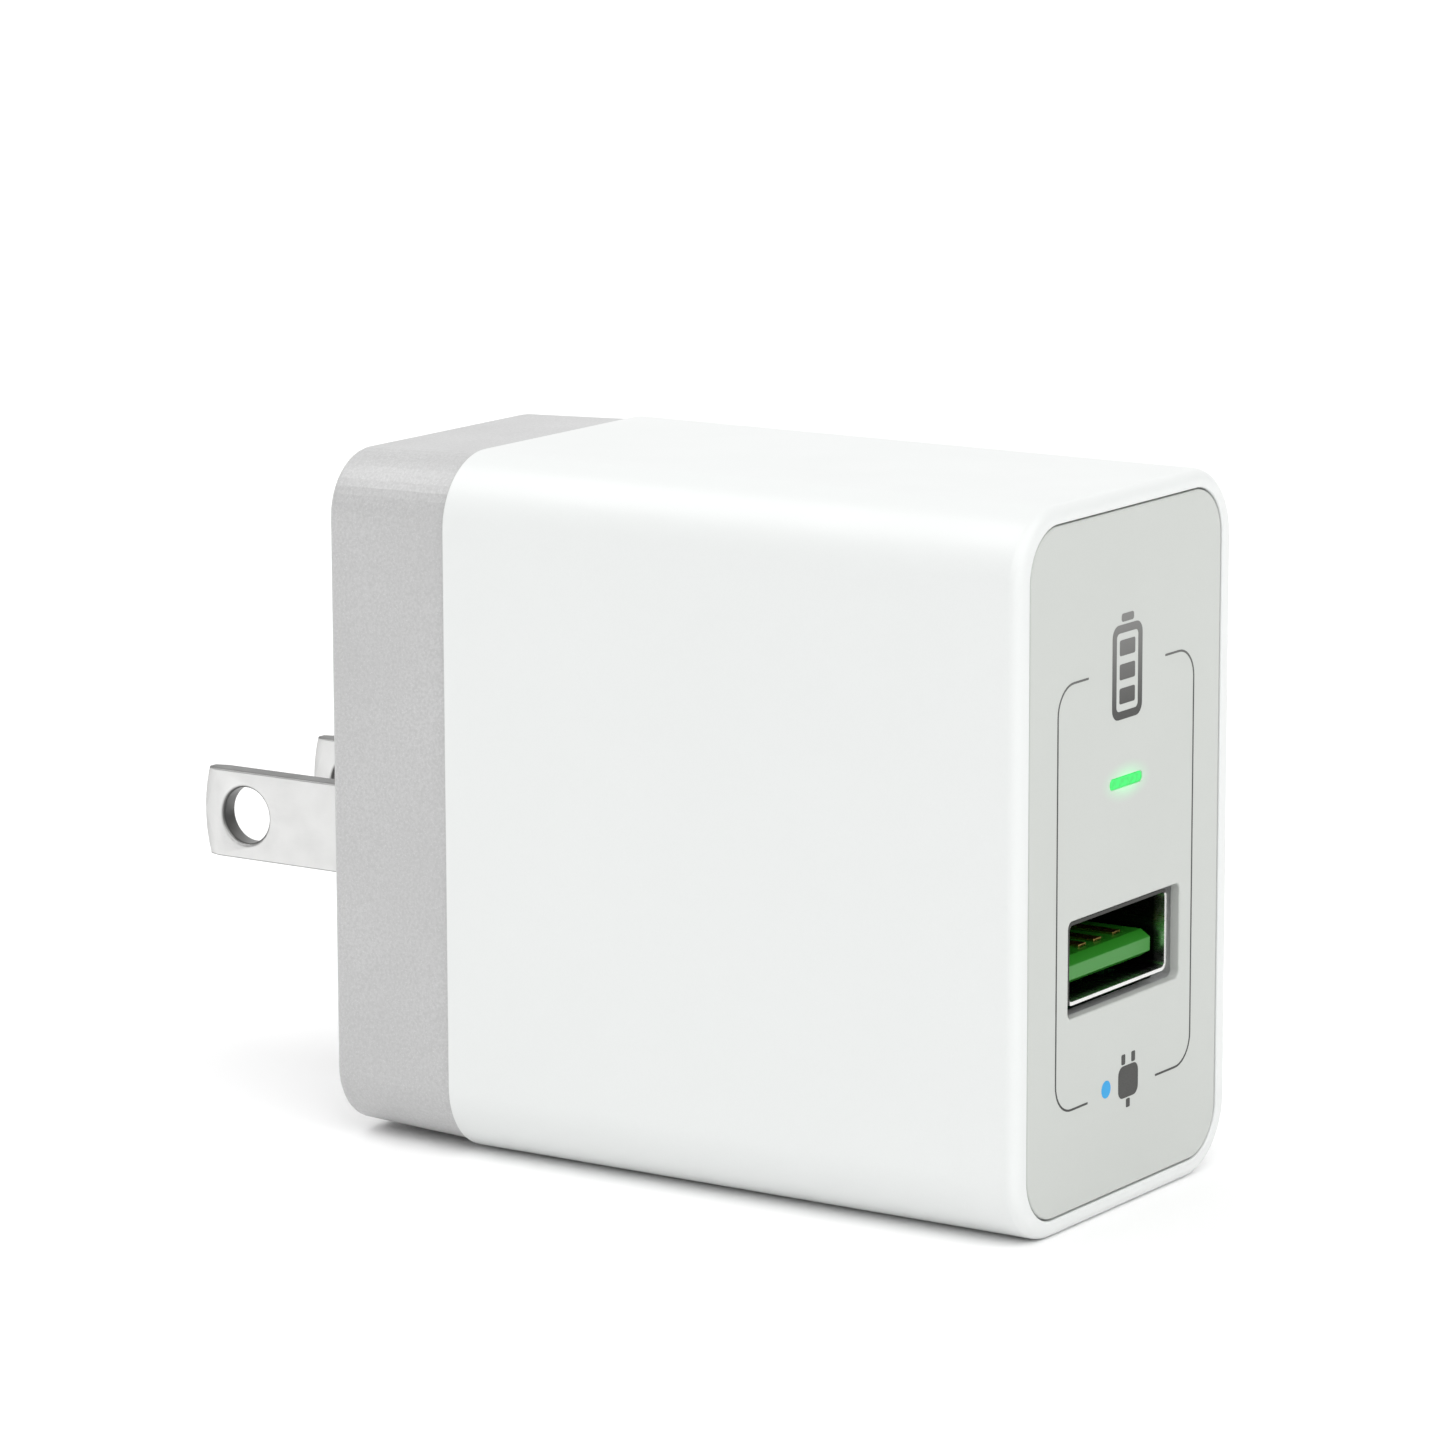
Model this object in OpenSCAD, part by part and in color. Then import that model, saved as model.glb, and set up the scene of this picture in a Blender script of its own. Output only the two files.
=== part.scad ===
// USB wall charger with folding blades.
// +Z is up, the USB face looks towards -Y and the blades point towards +Y.
// The origin is at the middle of the flat base, half way along the casing.

/* [Casing] */
// Width of the casing, along X
body_w = 28; // [27.5:0.1:29]
// Height of the casing, along Z
body_h = 48.5; // [48:0.1:50]
// Length of the white front shell, along Y
shell_l = 45.2; // [44.5:0.1:47.5]
// Length of the rear cover, along Y
cover_l = 10; // [9.8:0.1:11]
// Radius of the four long corners
corner_r = 5; // [4.6:0.1:5.4]
// Wall thickness of the front shell
wall = 2; // [1.8:0.1:2]
// How much each side of the rear cover leans in towards the back
cover_draft = 0.35; // [0.2:0.05:0.6]
// Width of the groove between the shell and the rear cover
seam_gap = 0.1; // [0.1:0.05:0.3]

/* [Face plate] */
// Width of the rim beside the plate
rim_side = 1.5; // [1.3:0.1:1.7]
// Width of the rim above and below the plate
rim_end = 1.25; // [1:0.05:1.5]
// Corner radius of the opening that the plate sits in
face_r = 3.5; // [3:0.1:4]
// Thickness of the plate
plate_t = 0.7; // [0.6:0.1:1]
// How far the plate sits behind the rim
plate_recess = 0.05; // [0.05:0.05:0.3]
// Gap between the plate and the rim
plate_gap = 0.12; // [0.08:0.02:0.2]
// Height of the light slot's centre above the base
light_z = 29; // [28.5:0.1:31]
// Length of the light slot
light_w = 4.2; // [3:0.1:4.6]
// Height of the light slot
light_h = 0.7; // [0.5:0.1:1]

/* [USB port] */
// Height of the port's centre above the base
port_z = 17.75; // [17.5:0.05:17.8]
// Width inside the port's steel shell
port_in_w = 12.5; // [12.4:0.1:12.6]
// Height inside the port's steel shell
port_in_h = 5.12; // [5.1:0.02:5.2]
// Thickness of the port's steel shell
port_sheet = 0.25; // [0.2:0.05:0.3]
// Length of the port's steel shell
port_l = 14; // [13:0.5:14]
// How far the port's mouth sits behind the face plate's surface
port_recess = 0.55; // [0.4:0.05:0.7]

/* [Plug] */
// Distance between the blades' centre planes
blade_pitch = 12.7; // [12.6:0.1:12.8]
// Width of a blade
blade_w = 6.35; // [6.2:0.05:6.5]
// Thickness of a blade
blade_t = 1.5; // [1.4:0.05:1.6]
// Length of a blade outside the casing
blade_out = 16.5; // [16:0.1:17]
// Height of the blades' centre line above the base
blade_z = 20.2; // [20:0.1:21]
// Diameter of the locking hole
blade_hole_d = 4; // [3.8:0.1:4.1]
// Distance from the locking hole's centre to the tip
blade_hole_in = 4; // [3.8:0.1:4.4]
// Depth of the hinge axis below the back face
hinge_depth = 3.5; // [3.45:0.05:3.6]
// How far the blades are turned up when they are folded
fold_angle = 90; // [90:1:90]

/* [Hidden] */

$fn = 64;
eps = 0.01;

// Planes along the casing
body_l = shell_l + cover_l;
front_y = -body_l / 2;
seam_y = front_y + shell_l;
back_y = front_y + body_l;
mid_z = body_h / 2;

// Face plate, front wall and the parts behind them
plate_front_y = front_y + plate_recess;
plate_back_y = plate_front_y + plate_t;
front_wall_t = 1.5;
cavity_y = plate_back_y + front_wall_t;
window_w = 14.6;
window_h = 6.5;
window_r = 0.5;
window_z = port_z - 0.2;
wall_window_gap = 0.3;
slot_gap = 0.1;
peg_x = 9.5;
peg_low_z = 5.5;
peg_high_z = body_h - 5.5;
peg_r = 0.9;

// Joint between the shell and the rear cover
lip_l = 2.5;
lip_t = 1;
lip_gap = 0.1;
seam_step = 0.25;
cover_in_w = body_w - 5;
cover_in_h = body_h - 5;
cover_in_r = 2.5;
back_t = 2.2;
rear_edge_r = 0.5;
back_in_y = back_y - back_t;

// Port
port_out_w = port_in_w + 2 * port_sheet;
port_out_h = port_in_h + 2 * port_sheet;
port_y = plate_front_y + port_recess;
port_end_y = port_y + port_l;
tongue_w = 11.1;
tongue_t = 1.84;
tongue_l = 8.4;
tongue_in = 0.7;
tongue_top = port_z;
contact_pitch = [-3.5, -1, 1, 3.5];
contact_w = 1;
contact_t = 0.2;

// Circuit boards
board_t = 1.6;
board_x = 9.4;
board_back_x = board_x + board_t;
board_y0 = -22;
board_y1 = 15.8;
board_z0 = 3.8;
board_z1 = body_h - 3.8;
pin_end_x = board_back_x + 0.6;
usb_board_t = 1.2;
usb_board_z = port_z + port_out_h / 2 + 0.14;
usb_board_top = usb_board_z + usb_board_t;
usb_board_y0 = cavity_y + 0.4;
usb_board_y1 = -8;
controller_y = port_end_y - 4.3;
header_y = [-18, -15.5, -13, -10.5];
header_x = 7.6;

// Transformer, wound about an axis along X
core_y = 0.5;
core_z = 33;
core_half_y = 9;
core_half_z = 5;
core_leg_t = 2.4;
core_x0 = -9.2;
core_x1 = 8.9;
yoke_t = 2.3;
centre_leg_r = 2.9;
flange_t = 1.1;
pin_row_z = 7.5;
pin_rail_x = 8.4;
pin_steps = [-4.8, -1.6, 1.6, 4.8];

// Places of the other components on the main board
cap_y = [-2.6, 7.8];
cap_z = 9.6;
cap_r = 5;
out_cap_y = [-19, -12.2];
out_cap_z = 9;
out_cap_r = 3.15;
choke_y = 11.3;
choke_z = 19.8;
fuse_y = 13.9;
fuse_z = 27.6;
disc_y = 13.2;
thermistor_z = 33.6;
y_cap_z = 40.6;
bridge_y = 2.4;
bridge_z = 19.6;
transistor_y = -11.8;
transistor_z = 37;

// Plug and its bearings
blade_x = blade_pitch / 2;
hinge_y = back_y - hinge_depth;
tip_y = back_y + blade_out;
tip_arc = 0.6;
tip_bevel = 0.5;
tail_r = 4.5;
tail_w = 2;
carrier_r = 3.4;
carrier_half = 9;
carrier_corner = 0.5;
detent_flat = 2.9;
detent_half = 3.3;
axle_r = 1.5;
axle_half = 11.1;
bearing_r = axle_r + 0.05;
swing_r = tip_y - hinge_y;

// Slots, window and ribs of the rear cover
slot_w = 2.4;
slot_top = blade_z + swing_r + 0.5;
slot_floor = hinge_y - blade_w / 2 - 0.3;
rib_t = 1.2;
opening_half = 9.4;
opening_h = 7.2;
cheek_y = 20;
cheek_h = 8;
scoop_r = 9;
scoop_depth = 3;
scoop_z = 35.5;
scoop_corner_r = 3;
post_z = [12.2, 28.2];
post_r = 2.5;
screw_r = 0.95;
pilot_r = 1;

// Bracket
bracket_y0 = 17;
bracket_y1 = 18.2;
bracket_half = 11.2;
bracket_h = 12;
spring_t = 0.25;
lead_r = 0.55;
lead_z = 12.2;
lead_y = 13.6;
neutral_pad_z = 8;

// ---- Shapes that repeat ----

module rounded_rect(w, h, r) {
    square([w - 2 * r, h], center = true);
    square([w, h - 2 * r], center = true);
    for (sx = [-1, 1], sz = [-1, 1])
        translate([sx * (w / 2 - r), sz * (h / 2 - r)]) circle(r);
}

// Extrudes an outline drawn in X and Z from y0 to y1
module prism_y(y0, y1) {
    translate([0, y1, 0]) rotate([90, 0, 0]) linear_extrude(y1 - y0) children();
}

// Extrudes an outline drawn in Y and Z from x0 to x1
module prism_x(x0, x1) {
    translate([x0, 0, 0]) rotate([90, 0, 90]) linear_extrude(x1 - x0) children();
}

module rod_y(x, z, r, y0, y1) {
    prism_y(y0, y1) translate([x, z]) circle(r);
}

module rod_x(y, z, r, x0, x1) {
    prism_x(x0, x1) translate([y, z]) circle(r);
}

module rod_z(x, y, r, z0, z1) {
    translate([x, y, z0]) cylinder(h = z1 - z0, r = r);
}

// A box between two opposite corners
module block(a, b) {
    translate(a) cube(b - a);
}

// The casing's section, drawn in X and Z, inset all round
module section(inset, r) {
    translate([0, mid_z]) rounded_rect(body_w - 2 * inset, body_h - 2 * inset, r);
}

// A surface-mounted package on the main board's front, legs along its two long sides
module chip(y, z, len_y, len_z, thick, legs) {
    foot = 0.9;
    block([board_x - 0.15 - thick, y - len_y / 2, z - len_z / 2],
          [board_x - 0.15, y + len_y / 2, z + len_z / 2]);
    for (i = [0 : legs - 1], side = [-1, 1]) {
        leg_y = y + (i - (legs - 1) / 2) * len_y / legs;
        edge = z + side * len_z / 2;
        outer = edge + side * foot;
        block([board_x - 0.2, leg_y - 0.2, min(edge, outer)],
              [board_x, leg_y + 0.2, max(edge, outer)]);
        block([board_x - thick / 2, leg_y - 0.2, min(edge, edge + side * 0.3)],
              [board_x, leg_y + 0.2, max(edge, edge + side * 0.3)]);
    }
}

// A straight component lead through the main board
module board_pin(y, z, r, x0) {
    rod_x(y, z, r, x0, pin_end_x);
}

module board_hole(y, z, r) {
    rod_x(y, z, r, board_x - 1, board_back_x + 1);
}

// ---- Casing ----

module front_shell() color("white") {
    difference() {
        union() {
            difference() {
                prism_y(front_y, seam_y) section(0, corner_r);
                prism_y(front_y - 1, plate_back_y) translate([0, mid_z])
                    rounded_rect(body_w - 2 * rim_side, body_h - 2 * rim_end, face_r);
                prism_y(cavity_y, seam_y + 1) section(wall, corner_r - wall);
                prism_y(seam_y - lip_l, seam_y + 1) section(lip_t, corner_r - lip_t);
            }
            board_rails();
        }
        prism_y(plate_back_y - 1, cavity_y + 1) translate([0, window_z])
            rounded_rect(window_w + 2 * wall_window_gap, window_h + 2 * wall_window_gap, window_r);
        prism_y(plate_back_y - 1, cavity_y + 1) translate([0, light_z])
            rounded_rect(light_w + 2 * slot_gap, light_h + 2 * slot_gap, light_h / 2);
        pegs(peg_r + 0.05, plate_back_y - 1, cavity_y + 1);
    }
}

// Ribs along the shell's floor and roof that the main board slides behind
module board_rails() {
    rail = [board_x - 1.1, board_x - 0.1];
    rail_end = seam_y - lip_l - 0.5;
    block([rail[0], cavity_y - eps, wall - eps], [rail[1], rail_end, wall + 2.4]);
    block([rail[0], cavity_y - eps, body_h - wall - 2.4], [rail[1], rail_end, body_h - wall + eps]);
}

module pegs(r, y0, y1) {
    for (sx = [-1, 1], z = [peg_low_z, peg_high_z]) rod_y(sx * peg_x, z, r, y0, y1);
}

module face_plate() color("gainsboro") {
    difference() {
        prism_y(plate_front_y, plate_back_y) translate([0, mid_z])
            rounded_rect(body_w - 2 * (rim_side + plate_gap), body_h - 2 * (rim_end + plate_gap),
                         face_r - plate_gap);
        prism_y(plate_front_y - 1, plate_back_y + 1) translate([0, window_z])
            rounded_rect(window_w, window_h, window_r);
        prism_y(plate_front_y - 1, plate_back_y + 1) translate([0, light_z])
            rounded_rect(light_w + 0.06, light_h + 0.06, light_h / 2);
    }
    pegs(peg_r, plate_back_y - eps, cavity_y - 0.2);
}

module rear_cover() color("silver") {
    difference() {
        union() {
            difference() {
                union() {
                    cover_skin();
                    prism_y(seam_y - lip_l + 0.1, seam_y + 1)
                        section(lip_t + lip_gap, corner_r - lip_t - lip_gap);
                }
                prism_y(seam_y - lip_l - 1, back_in_y) translate([0, mid_z])
                    rounded_rect(cover_in_w, cover_in_h, cover_in_r);
            }
            blade_pockets();
            scoop(rib_t, back_in_y + eps);
            cheeks();
            for (z = post_z) rod_y(0, z, post_r, bracket_y1, back_in_y + eps);
        }
        blade_slots();
        carrier_opening();
        scoop(0, back_y + 1);
        bearing_channels();
        for (z = post_z) rod_y(0, z, pilot_r, bracket_y1 - 1, back_in_y - 1);
    }
}

// Outer skin: a rounded block that narrows towards the back, with a softened rear edge
module cover_skin() {
    hull() {
        skin_slice(seam_y + seam_gap, seam_step);
        for (turn = [0 : 18 : 90])
            skin_slice(back_y - eps - rear_edge_r * (1 - sin(turn)),
                       seam_step + cover_draft + rear_edge_r * (1 - cos(turn)));
    }
}

module skin_slice(y, inset) {
    prism_y(y, y + eps) section(inset, corner_r - inset, $fn = 48);
}

// Walls round the space that the folded blades lie in
module blade_pockets() {
    half = slot_w / 2 + rib_t;
    for (side = [-1, 1])
        block([side * blade_x - half, slot_floor - rib_t, blade_z + opening_h / 2],
              [side * blade_x + half, back_in_y + eps, slot_top + rib_t]);
}

module blade_slots() {
    for (side = [-1, 1])
        block([side * blade_x - slot_w / 2, slot_floor, blade_z],
              [side * blade_x + slot_w / 2, back_y + 1, slot_top]);
}

module carrier_opening() {
    block([-opening_half, back_in_y - 1, blade_z - opening_h / 2],
          [opening_half, back_y + 1, blade_z + opening_h / 2]);
    block([-opening_half, hinge_y - carrier_r - 3, blade_z - opening_h / 2],
          [opening_half, back_in_y, blade_z + opening_h / 2]);
}

// Shallow finger scoop across both slots, near the folded blades' tips, or that shape grown all round
module scoop(grow, y_end) {
    half_z = sqrt(scoop_r * scoop_r - (scoop_r - scoop_depth) * (scoop_r - scoop_depth)) + grow;
    intersection() {
        rod_x(back_y + scoop_r - scoop_depth, scoop_z, scoop_r + grow, -body_w, body_w);
        prism_y(slot_floor, y_end) translate([0, scoop_z])
            rounded_rect(2 * (opening_half + grow), 2 * half_z, scoop_corner_r + grow);
    }
}

// Thick cheeks at both ends of the carrier, each with a bearing channel that is open to the inside
module cheeks() {
    for (side = [-1, 1]) {
        near = side * opening_half;
        far = side * (cover_in_w / 2 + eps);
        block([min(near, far), cheek_y, blade_z - cheek_h / 2],
              [max(near, far), back_in_y + eps, blade_z + cheek_h / 2]);
    }
}

module bearing_channels() {
    rod_x(hinge_y, blade_z, bearing_r, -axle_half - 0.2, axle_half + 0.2);
    block([-axle_half - 0.2, cheek_y - 1, blade_z - bearing_r],
          [axle_half + 0.2, hinge_y, blade_z + bearing_r]);
}

// ---- Face and port ----

module light_guide() color("honeydew") {
    prism_y(plate_front_y + 0.05, cavity_y + 0.5) translate([0, light_z])
        rounded_rect(light_w, light_h, light_h / 2 - eps);
    block([-3, cavity_y + 0.15, usb_board_top + 1.35], [3, cavity_y + 2.3, light_z + 1.2]);
}

module indicator_led() color("lightgreen") {
    block([-1.6, cavity_y + 0.5, usb_board_top], [1.6, cavity_y + 2.3, usb_board_top + 1.2]);
}

module port_outline(inset) {
    translate([0, port_z])
        rounded_rect(port_out_w - 2 * inset, port_out_h - 2 * inset, 0.6 - inset);
}

module usb_shell() color("lightgray") {
    difference() {
        prism_y(port_y, port_end_y) port_outline(0);
        prism_y(port_y - 1, port_end_y + 1) port_outline(port_sheet);
        for (x = [-3.2, 3.2], side = [-1, 1]) finger_window(x, side);
        // legs of the contacts leave through the roof
        block([-4.4, port_end_y - 1.6, port_z], [4.4, port_end_y + 1, port_z + port_out_h]);
    }
    for (x = [-3.2, 3.2], side = [-1, 1]) finger(x, side);
}

// Opening that is left round each spring finger of the port
module finger_window(x, side) {
    edge = port_z + side * port_in_h / 2;
    far = edge + side * (port_sheet + 1);
    block([x - 1.4, port_y + 2.2, min(edge - side * 0.05, far)],
          [x + 1.4, port_y + 7.6, max(edge - side * 0.05, far)]);
}

// Spring finger, rooted at the window's inner end and dipping into the port
module finger(x, side) {
    translate([x, port_y + 7.6, port_z + side * (port_in_h / 2 + port_sheet / 2)])
        rotate([side * 4.5, 0, 0])
            translate([0, -2.35, 0]) cube([1.8, 4.9, port_sheet * 0.8], center = true);
}

module usb_tongue() color("limegreen") {
    block_y = port_y + tongue_in + tongue_l;
    gap = 0.06;
    difference() {
        union() {
            block([-tongue_w / 2, port_y + tongue_in, tongue_top - tongue_t],
                  [tongue_w / 2, block_y + eps, tongue_top]);
            prism_y(block_y, port_end_y - 0.2) translate([0, port_z])
                rounded_rect(port_in_w - 2 * gap, port_in_h - 2 * gap, 0.2);
        }
        tongue_lead_in(tongue_top, 1);
        tongue_lead_in(tongue_top - tongue_t, -1);
        for (x = contact_pitch)
            block([x - contact_w / 2 - 0.05, port_y + tongue_in + 1.2, tongue_top - 0.1],
                  [x + contact_w / 2 + 0.05, port_end_y, tongue_top + contact_t + 0.05]);
        // room for the contacts' legs
        block([-4.2, port_end_y - 1.2, tongue_top - 0.1], [4.2, port_end_y + 1, port_z + port_in_h]);
    }
}

// Slope along the tongue's front edge, above it or below it
module tongue_lead_in(edge_z, side) {
    nose_y = port_y + tongue_in;
    drop = 0.45;
    run = 0.7;
    prism_x(-tongue_w, tongue_w) polygon([
        [nose_y - 1, edge_z + side], [nose_y - 1, edge_z - side * drop], [nose_y, edge_z - side * drop],
        [nose_y + run, edge_z], [nose_y + run, edge_z + side]
    ]);
}

module usb_contacts() color("gold") {
    leg_y = port_end_y - 0.9;
    for (x = contact_pitch) {
        block([x - contact_w / 2, port_y + tongue_in + 1.4, tongue_top - 0.05],
              [x + contact_w / 2, leg_y + 0.3, tongue_top - 0.05 + contact_t]);
        block([x - 0.35, leg_y, tongue_top - 0.05],
              [x + 0.35, leg_y + 0.3, usb_board_top + 0.5]);
    }
}

module usb_board() color("darkgreen") {
    difference() {
        block([-9, usb_board_y0, usb_board_z], [board_x - 0.1, usb_board_y1, usb_board_top]);
        for (x = contact_pitch) rod_z(x, port_end_y - 0.75, 0.55, usb_board_z - 1, usb_board_top + 1);
        for (y = header_y) rod_z(header_x, y, 0.5, usb_board_z - 1, usb_board_top + 1);
    }
}

// Square pins that carry the output from the main board to the port's board
module board_header() color("khaki") {
    half = 0.3;
    rise = usb_board_top + 0.8;
    for (y = header_y) {
        block([header_x - half, y - half, usb_board_z - 0.5], [header_x + half, y + half, rise + half]);
        block([header_x - half, y - half, rise - half], [pin_end_x, y + half, rise + half]);
    }
}

module charge_controller() color("dimgray") {
    block([-2, controller_y - 2, usb_board_top + 0.1], [3, controller_y + 2, usb_board_top + 1.5]);
    for (i = [0 : 3], side = [-1, 1]) {
        x = -1.4 + i * 1.27;
        edge = controller_y + side * 2;
        outer = edge + side * 0.9;
        block([x - 0.2, min(edge, outer), usb_board_top], [x + 0.2, max(edge, outer), usb_board_top + 0.2]);
        block([x - 0.2, min(edge, edge + side * 0.3), usb_board_top],
              [x + 0.2, max(edge, edge + side * 0.3), usb_board_top + 0.8]);
    }
}

// ---- Main board and its components ----

module main_board() color("darkgreen") {
    difference() {
        block([board_x, board_y0, board_z0], [board_back_x, board_y1, board_z1]);
        for (step = pin_steps, side = [-1, 1]) board_hole(core_y + step, core_z + side * pin_row_z, 0.5);
        for (y = header_y) board_hole(y, usb_board_top + 0.8, 0.6);
        for (y = cap_y, side = [-1, 1]) board_hole(y, cap_z + side * 2.5, 0.45);
        for (y = out_cap_y, side = [-1, 1]) board_hole(y, out_cap_z + side * 1.25, 0.45);
        for (side = [-1, 1]) {
            board_hole(choke_y, choke_z + side * 2.5, 0.45);
            board_hole(disc_y, thermistor_z + side * 2.5, 0.45);
            board_hole(disc_y, y_cap_z + side * 2.5, 0.45);
            board_hole(fuse_y, fuse_z + side * 1.2, 0.45);
            board_hole(bridge_y - 2.5, bridge_z + side * 2.5, 0.5);
            board_hole(bridge_y + 2.5, bridge_z + side * 2.5, 0.5);
        }
        for (step = [-2.54, 0, 2.54]) board_hole(transistor_y, transistor_z + step, 0.55);
        board_hole(lead_y, lead_z, 0.5);
        board_hole(lead_y, neutral_pad_z, 0.5);
    }
}

// Two E-shaped ferrite halves that meet at the middle of the legs
module transformer_core() color("darkslategray") {
    translate([0, core_y, core_z]) {
        block([core_x1 - yoke_t, -core_half_y, -core_half_z], [core_x1, core_half_y, core_half_z]);
        block([core_x0, -core_half_y, -core_half_z], [core_x0 + yoke_t, core_half_y, core_half_z]);
        for (side = [-1, 1]) {
            near = side * (core_half_y - core_leg_t);
            far = side * core_half_y;
            block([core_x0, min(near, far), -core_half_z], [core_x1, max(near, far), core_half_z]);
        }
        rod_x(0, 0, centre_leg_r, core_x0, core_x1);
    }
}

module transformer_bobbin() color("lightyellow") {
    low = core_x1 - yoke_t - 0.1;
    high = core_x0 + yoke_t + 0.1;
    half_y = core_half_y - core_leg_t - 0.15;
    rail_z = pin_row_z + 1.1;
    translate([0, core_y, core_z]) difference() {
        union() {
            block([low - flange_t, -half_y, -rail_z], [low, half_y, rail_z]);
            block([high, -half_y, -core_half_z - 0.8], [high + flange_t, half_y, core_half_z + 0.8]);
            rod_x(0, 0, centre_leg_r + 0.9, high, low);
            for (side = [-1, 1]) {
                near = side * (core_half_z + 0.2);
                block([low - flange_t, -half_y, min(near, side * rail_z)],
                      [pin_rail_x, half_y, max(near, side * rail_z)]);
            }
        }
        rod_x(0, 0, centre_leg_r + 0.1, high - 1, low + 1);
    }
}

module transformer_winding() color("gold") {
    low = core_x1 - yoke_t - 0.1 - flange_t - 0.1;
    high = core_x0 + yoke_t + 0.1 + flange_t + 0.1;
    translate([0, core_y, core_z]) difference() {
        rod_x(0, 0, 6.2, high, low);
        rod_x(0, 0, centre_leg_r + 1, high - 1, low + 1);
    }
}

module transformer_pins() color("lightgray") {
    for (step = pin_steps, side = [-1, 1])
        board_pin(core_y + step, core_z + side * pin_row_z, 0.35, pin_rail_x);
}

// An upright can capacitor with its base near the board
module can_capacitor(y, z, r, length, pin_step) {
    base = board_x - 0.2;
    groove = 0.35;
    difference() {
        rod_x(y, z, r, base - length, base);
        difference() {
            rod_x(y, z, r + 1, base - 2, base - 1.3);
            rod_x(y, z, r - groove, base - 3, base);
        }
    }
    for (side = [-1, 1]) board_pin(y, z + side * pin_step, 0.3, base - eps);
}

module bulk_capacitors() color("midnightblue") {
    for (y = cap_y) can_capacitor(y, cap_z, cap_r, 16, 2.5);
}

module output_capacitors() color("silver") {
    for (y = out_cap_y) can_capacitor(y, out_cap_z, out_cap_r, 9.5, 1.25);
}

module choke_core() color("dimgray") {
    rod_x(choke_y, choke_z, 1.8, 0.4, board_x - 0.4);
    rod_x(choke_y, choke_z, 3.8, 0.4, 1.5);
    rod_x(choke_y, choke_z, 3.8, board_x - 1.6, board_x - 0.4);
    for (side = [-1, 1]) board_pin(choke_y, choke_z + side * 2.5, 0.3, board_x - 0.4 - eps);
}

module choke_winding() color("chocolate") {
    difference() {
        rod_x(choke_y, choke_z, 3.2, 1.6, board_x - 1.7);
        rod_x(choke_y, choke_z, 1.9, 0, board_x);
    }
}

module fuse() color("sienna") {
    block([2.2, fuse_y - 1.6, fuse_z - 2.4], [board_x - 0.3, fuse_y + 1.6, fuse_z + 2.4]);
    for (side = [-1, 1]) board_pin(fuse_y, fuse_z + side * 1.2, 0.3, board_x - 0.3 - eps);
}

// A coated disc that stands on two leads, its face towards Y
module disc_component(z, r, thick) {
    centre_x = board_x - 1.4 - r;
    translate([centre_x, disc_y - thick / 2, z]) rotate([-90, 0, 0]) cylinder(h = thick, r = r);
    for (side = [-1, 1]) board_pin(disc_y, z + side * 2.5, 0.3, centre_x + 1);
}

module inrush_thermistor() color("darkolivegreen") {
    disc_component(thermistor_z, 3.3, 2.6);
}

module y_capacitor() color("steelblue") {
    disc_component(y_cap_z, 3.4, 2.8);
}

module bridge_rectifier() color("black") {
    block([board_x - 3.1, bridge_y - 3.2, bridge_z - 3.2], [board_x - 0.4, bridge_y + 3.2, bridge_z + 3.2]);
    for (sy = [-1, 1], sz = [-1, 1])
        board_pin(bridge_y + sy * 2.5, bridge_z + sz * 2.5, 0.35, board_x - 0.4 - eps);
}

// Transistor that stands on three legs, its tab at the far end
module switching_transistor() color("black") {
    body_x = [-8.6, 6.2];
    difference() {
        block([body_x[0], transistor_y - 2, transistor_z - 5], [body_x[1], transistor_y + 2, transistor_z + 5]);
        rod_y(body_x[0] + 3, transistor_z, 1.6, transistor_y - 3, transistor_y + 3);
    }
    for (step = [-2.54, 0, 2.54]) board_pin(transistor_y, transistor_z + step, 0.4, body_x[1] - eps);
}

module primary_controller() color("dimgray") {
    chip(-18, 34, 5, 4, 1.4, 4);
}

module optocoupler() color("black") {
    chip(-18, 40.6, 4.6, 5, 2.6, 2);
}

module sync_rectifier() color("dimgray") {
    chip(-13.5, 27, 5, 4, 1.4, 4);
}

// Rows of small parts on the main board: [y, z] of each
module small_parts(places, size) {
    for (p = places)
        block([board_x - size[0], p[0] - size[1] / 2, p[1] - size[2] / 2],
              [board_x, p[0] + size[1] / 2, p[1] + size[2] / 2]);
}

module chip_resistors() color("black") {
    small_parts([for (i = [0 : 3]) [-14.4 + 2.6 * i, 43.4]], [0.5, 1.6, 0.8]);
    small_parts([for (i = [0 : 2]) [-20.8, 25.6 + 2.4 * i]], [0.5, 1.6, 0.8]);
}

module chip_capacitors() color("tan") {
    small_parts([for (i = [0 : 2]) [-8.6 + 2.6 * i, 17]], [0.9, 2, 1.2]);
    small_parts([[-18, 28.6]], [1, 1.2, 2]);
}

// ---- Heat and insulation ----

module heat_spreader() color("silver") {
    block([-11.4, -20, 6], [-10.9, 14, 43]);
    block([-11.4, -20, 43 - 0.5], [-7, 12, 43]);
}

module thermal_pad() color("lightpink") {
    block([-10.88, core_y - 8, core_z - 4.6], [core_x0 - 0.02, core_y + 8, core_z + 4.6]);
}

module insulating_sheet() color("ivory") {
    block([pin_end_x + 0.08, board_y0, 4.6], [pin_end_x + 0.24, seam_y - lip_l - 0.2, body_h - 4.6]);
}

// ---- Plug ----

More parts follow.
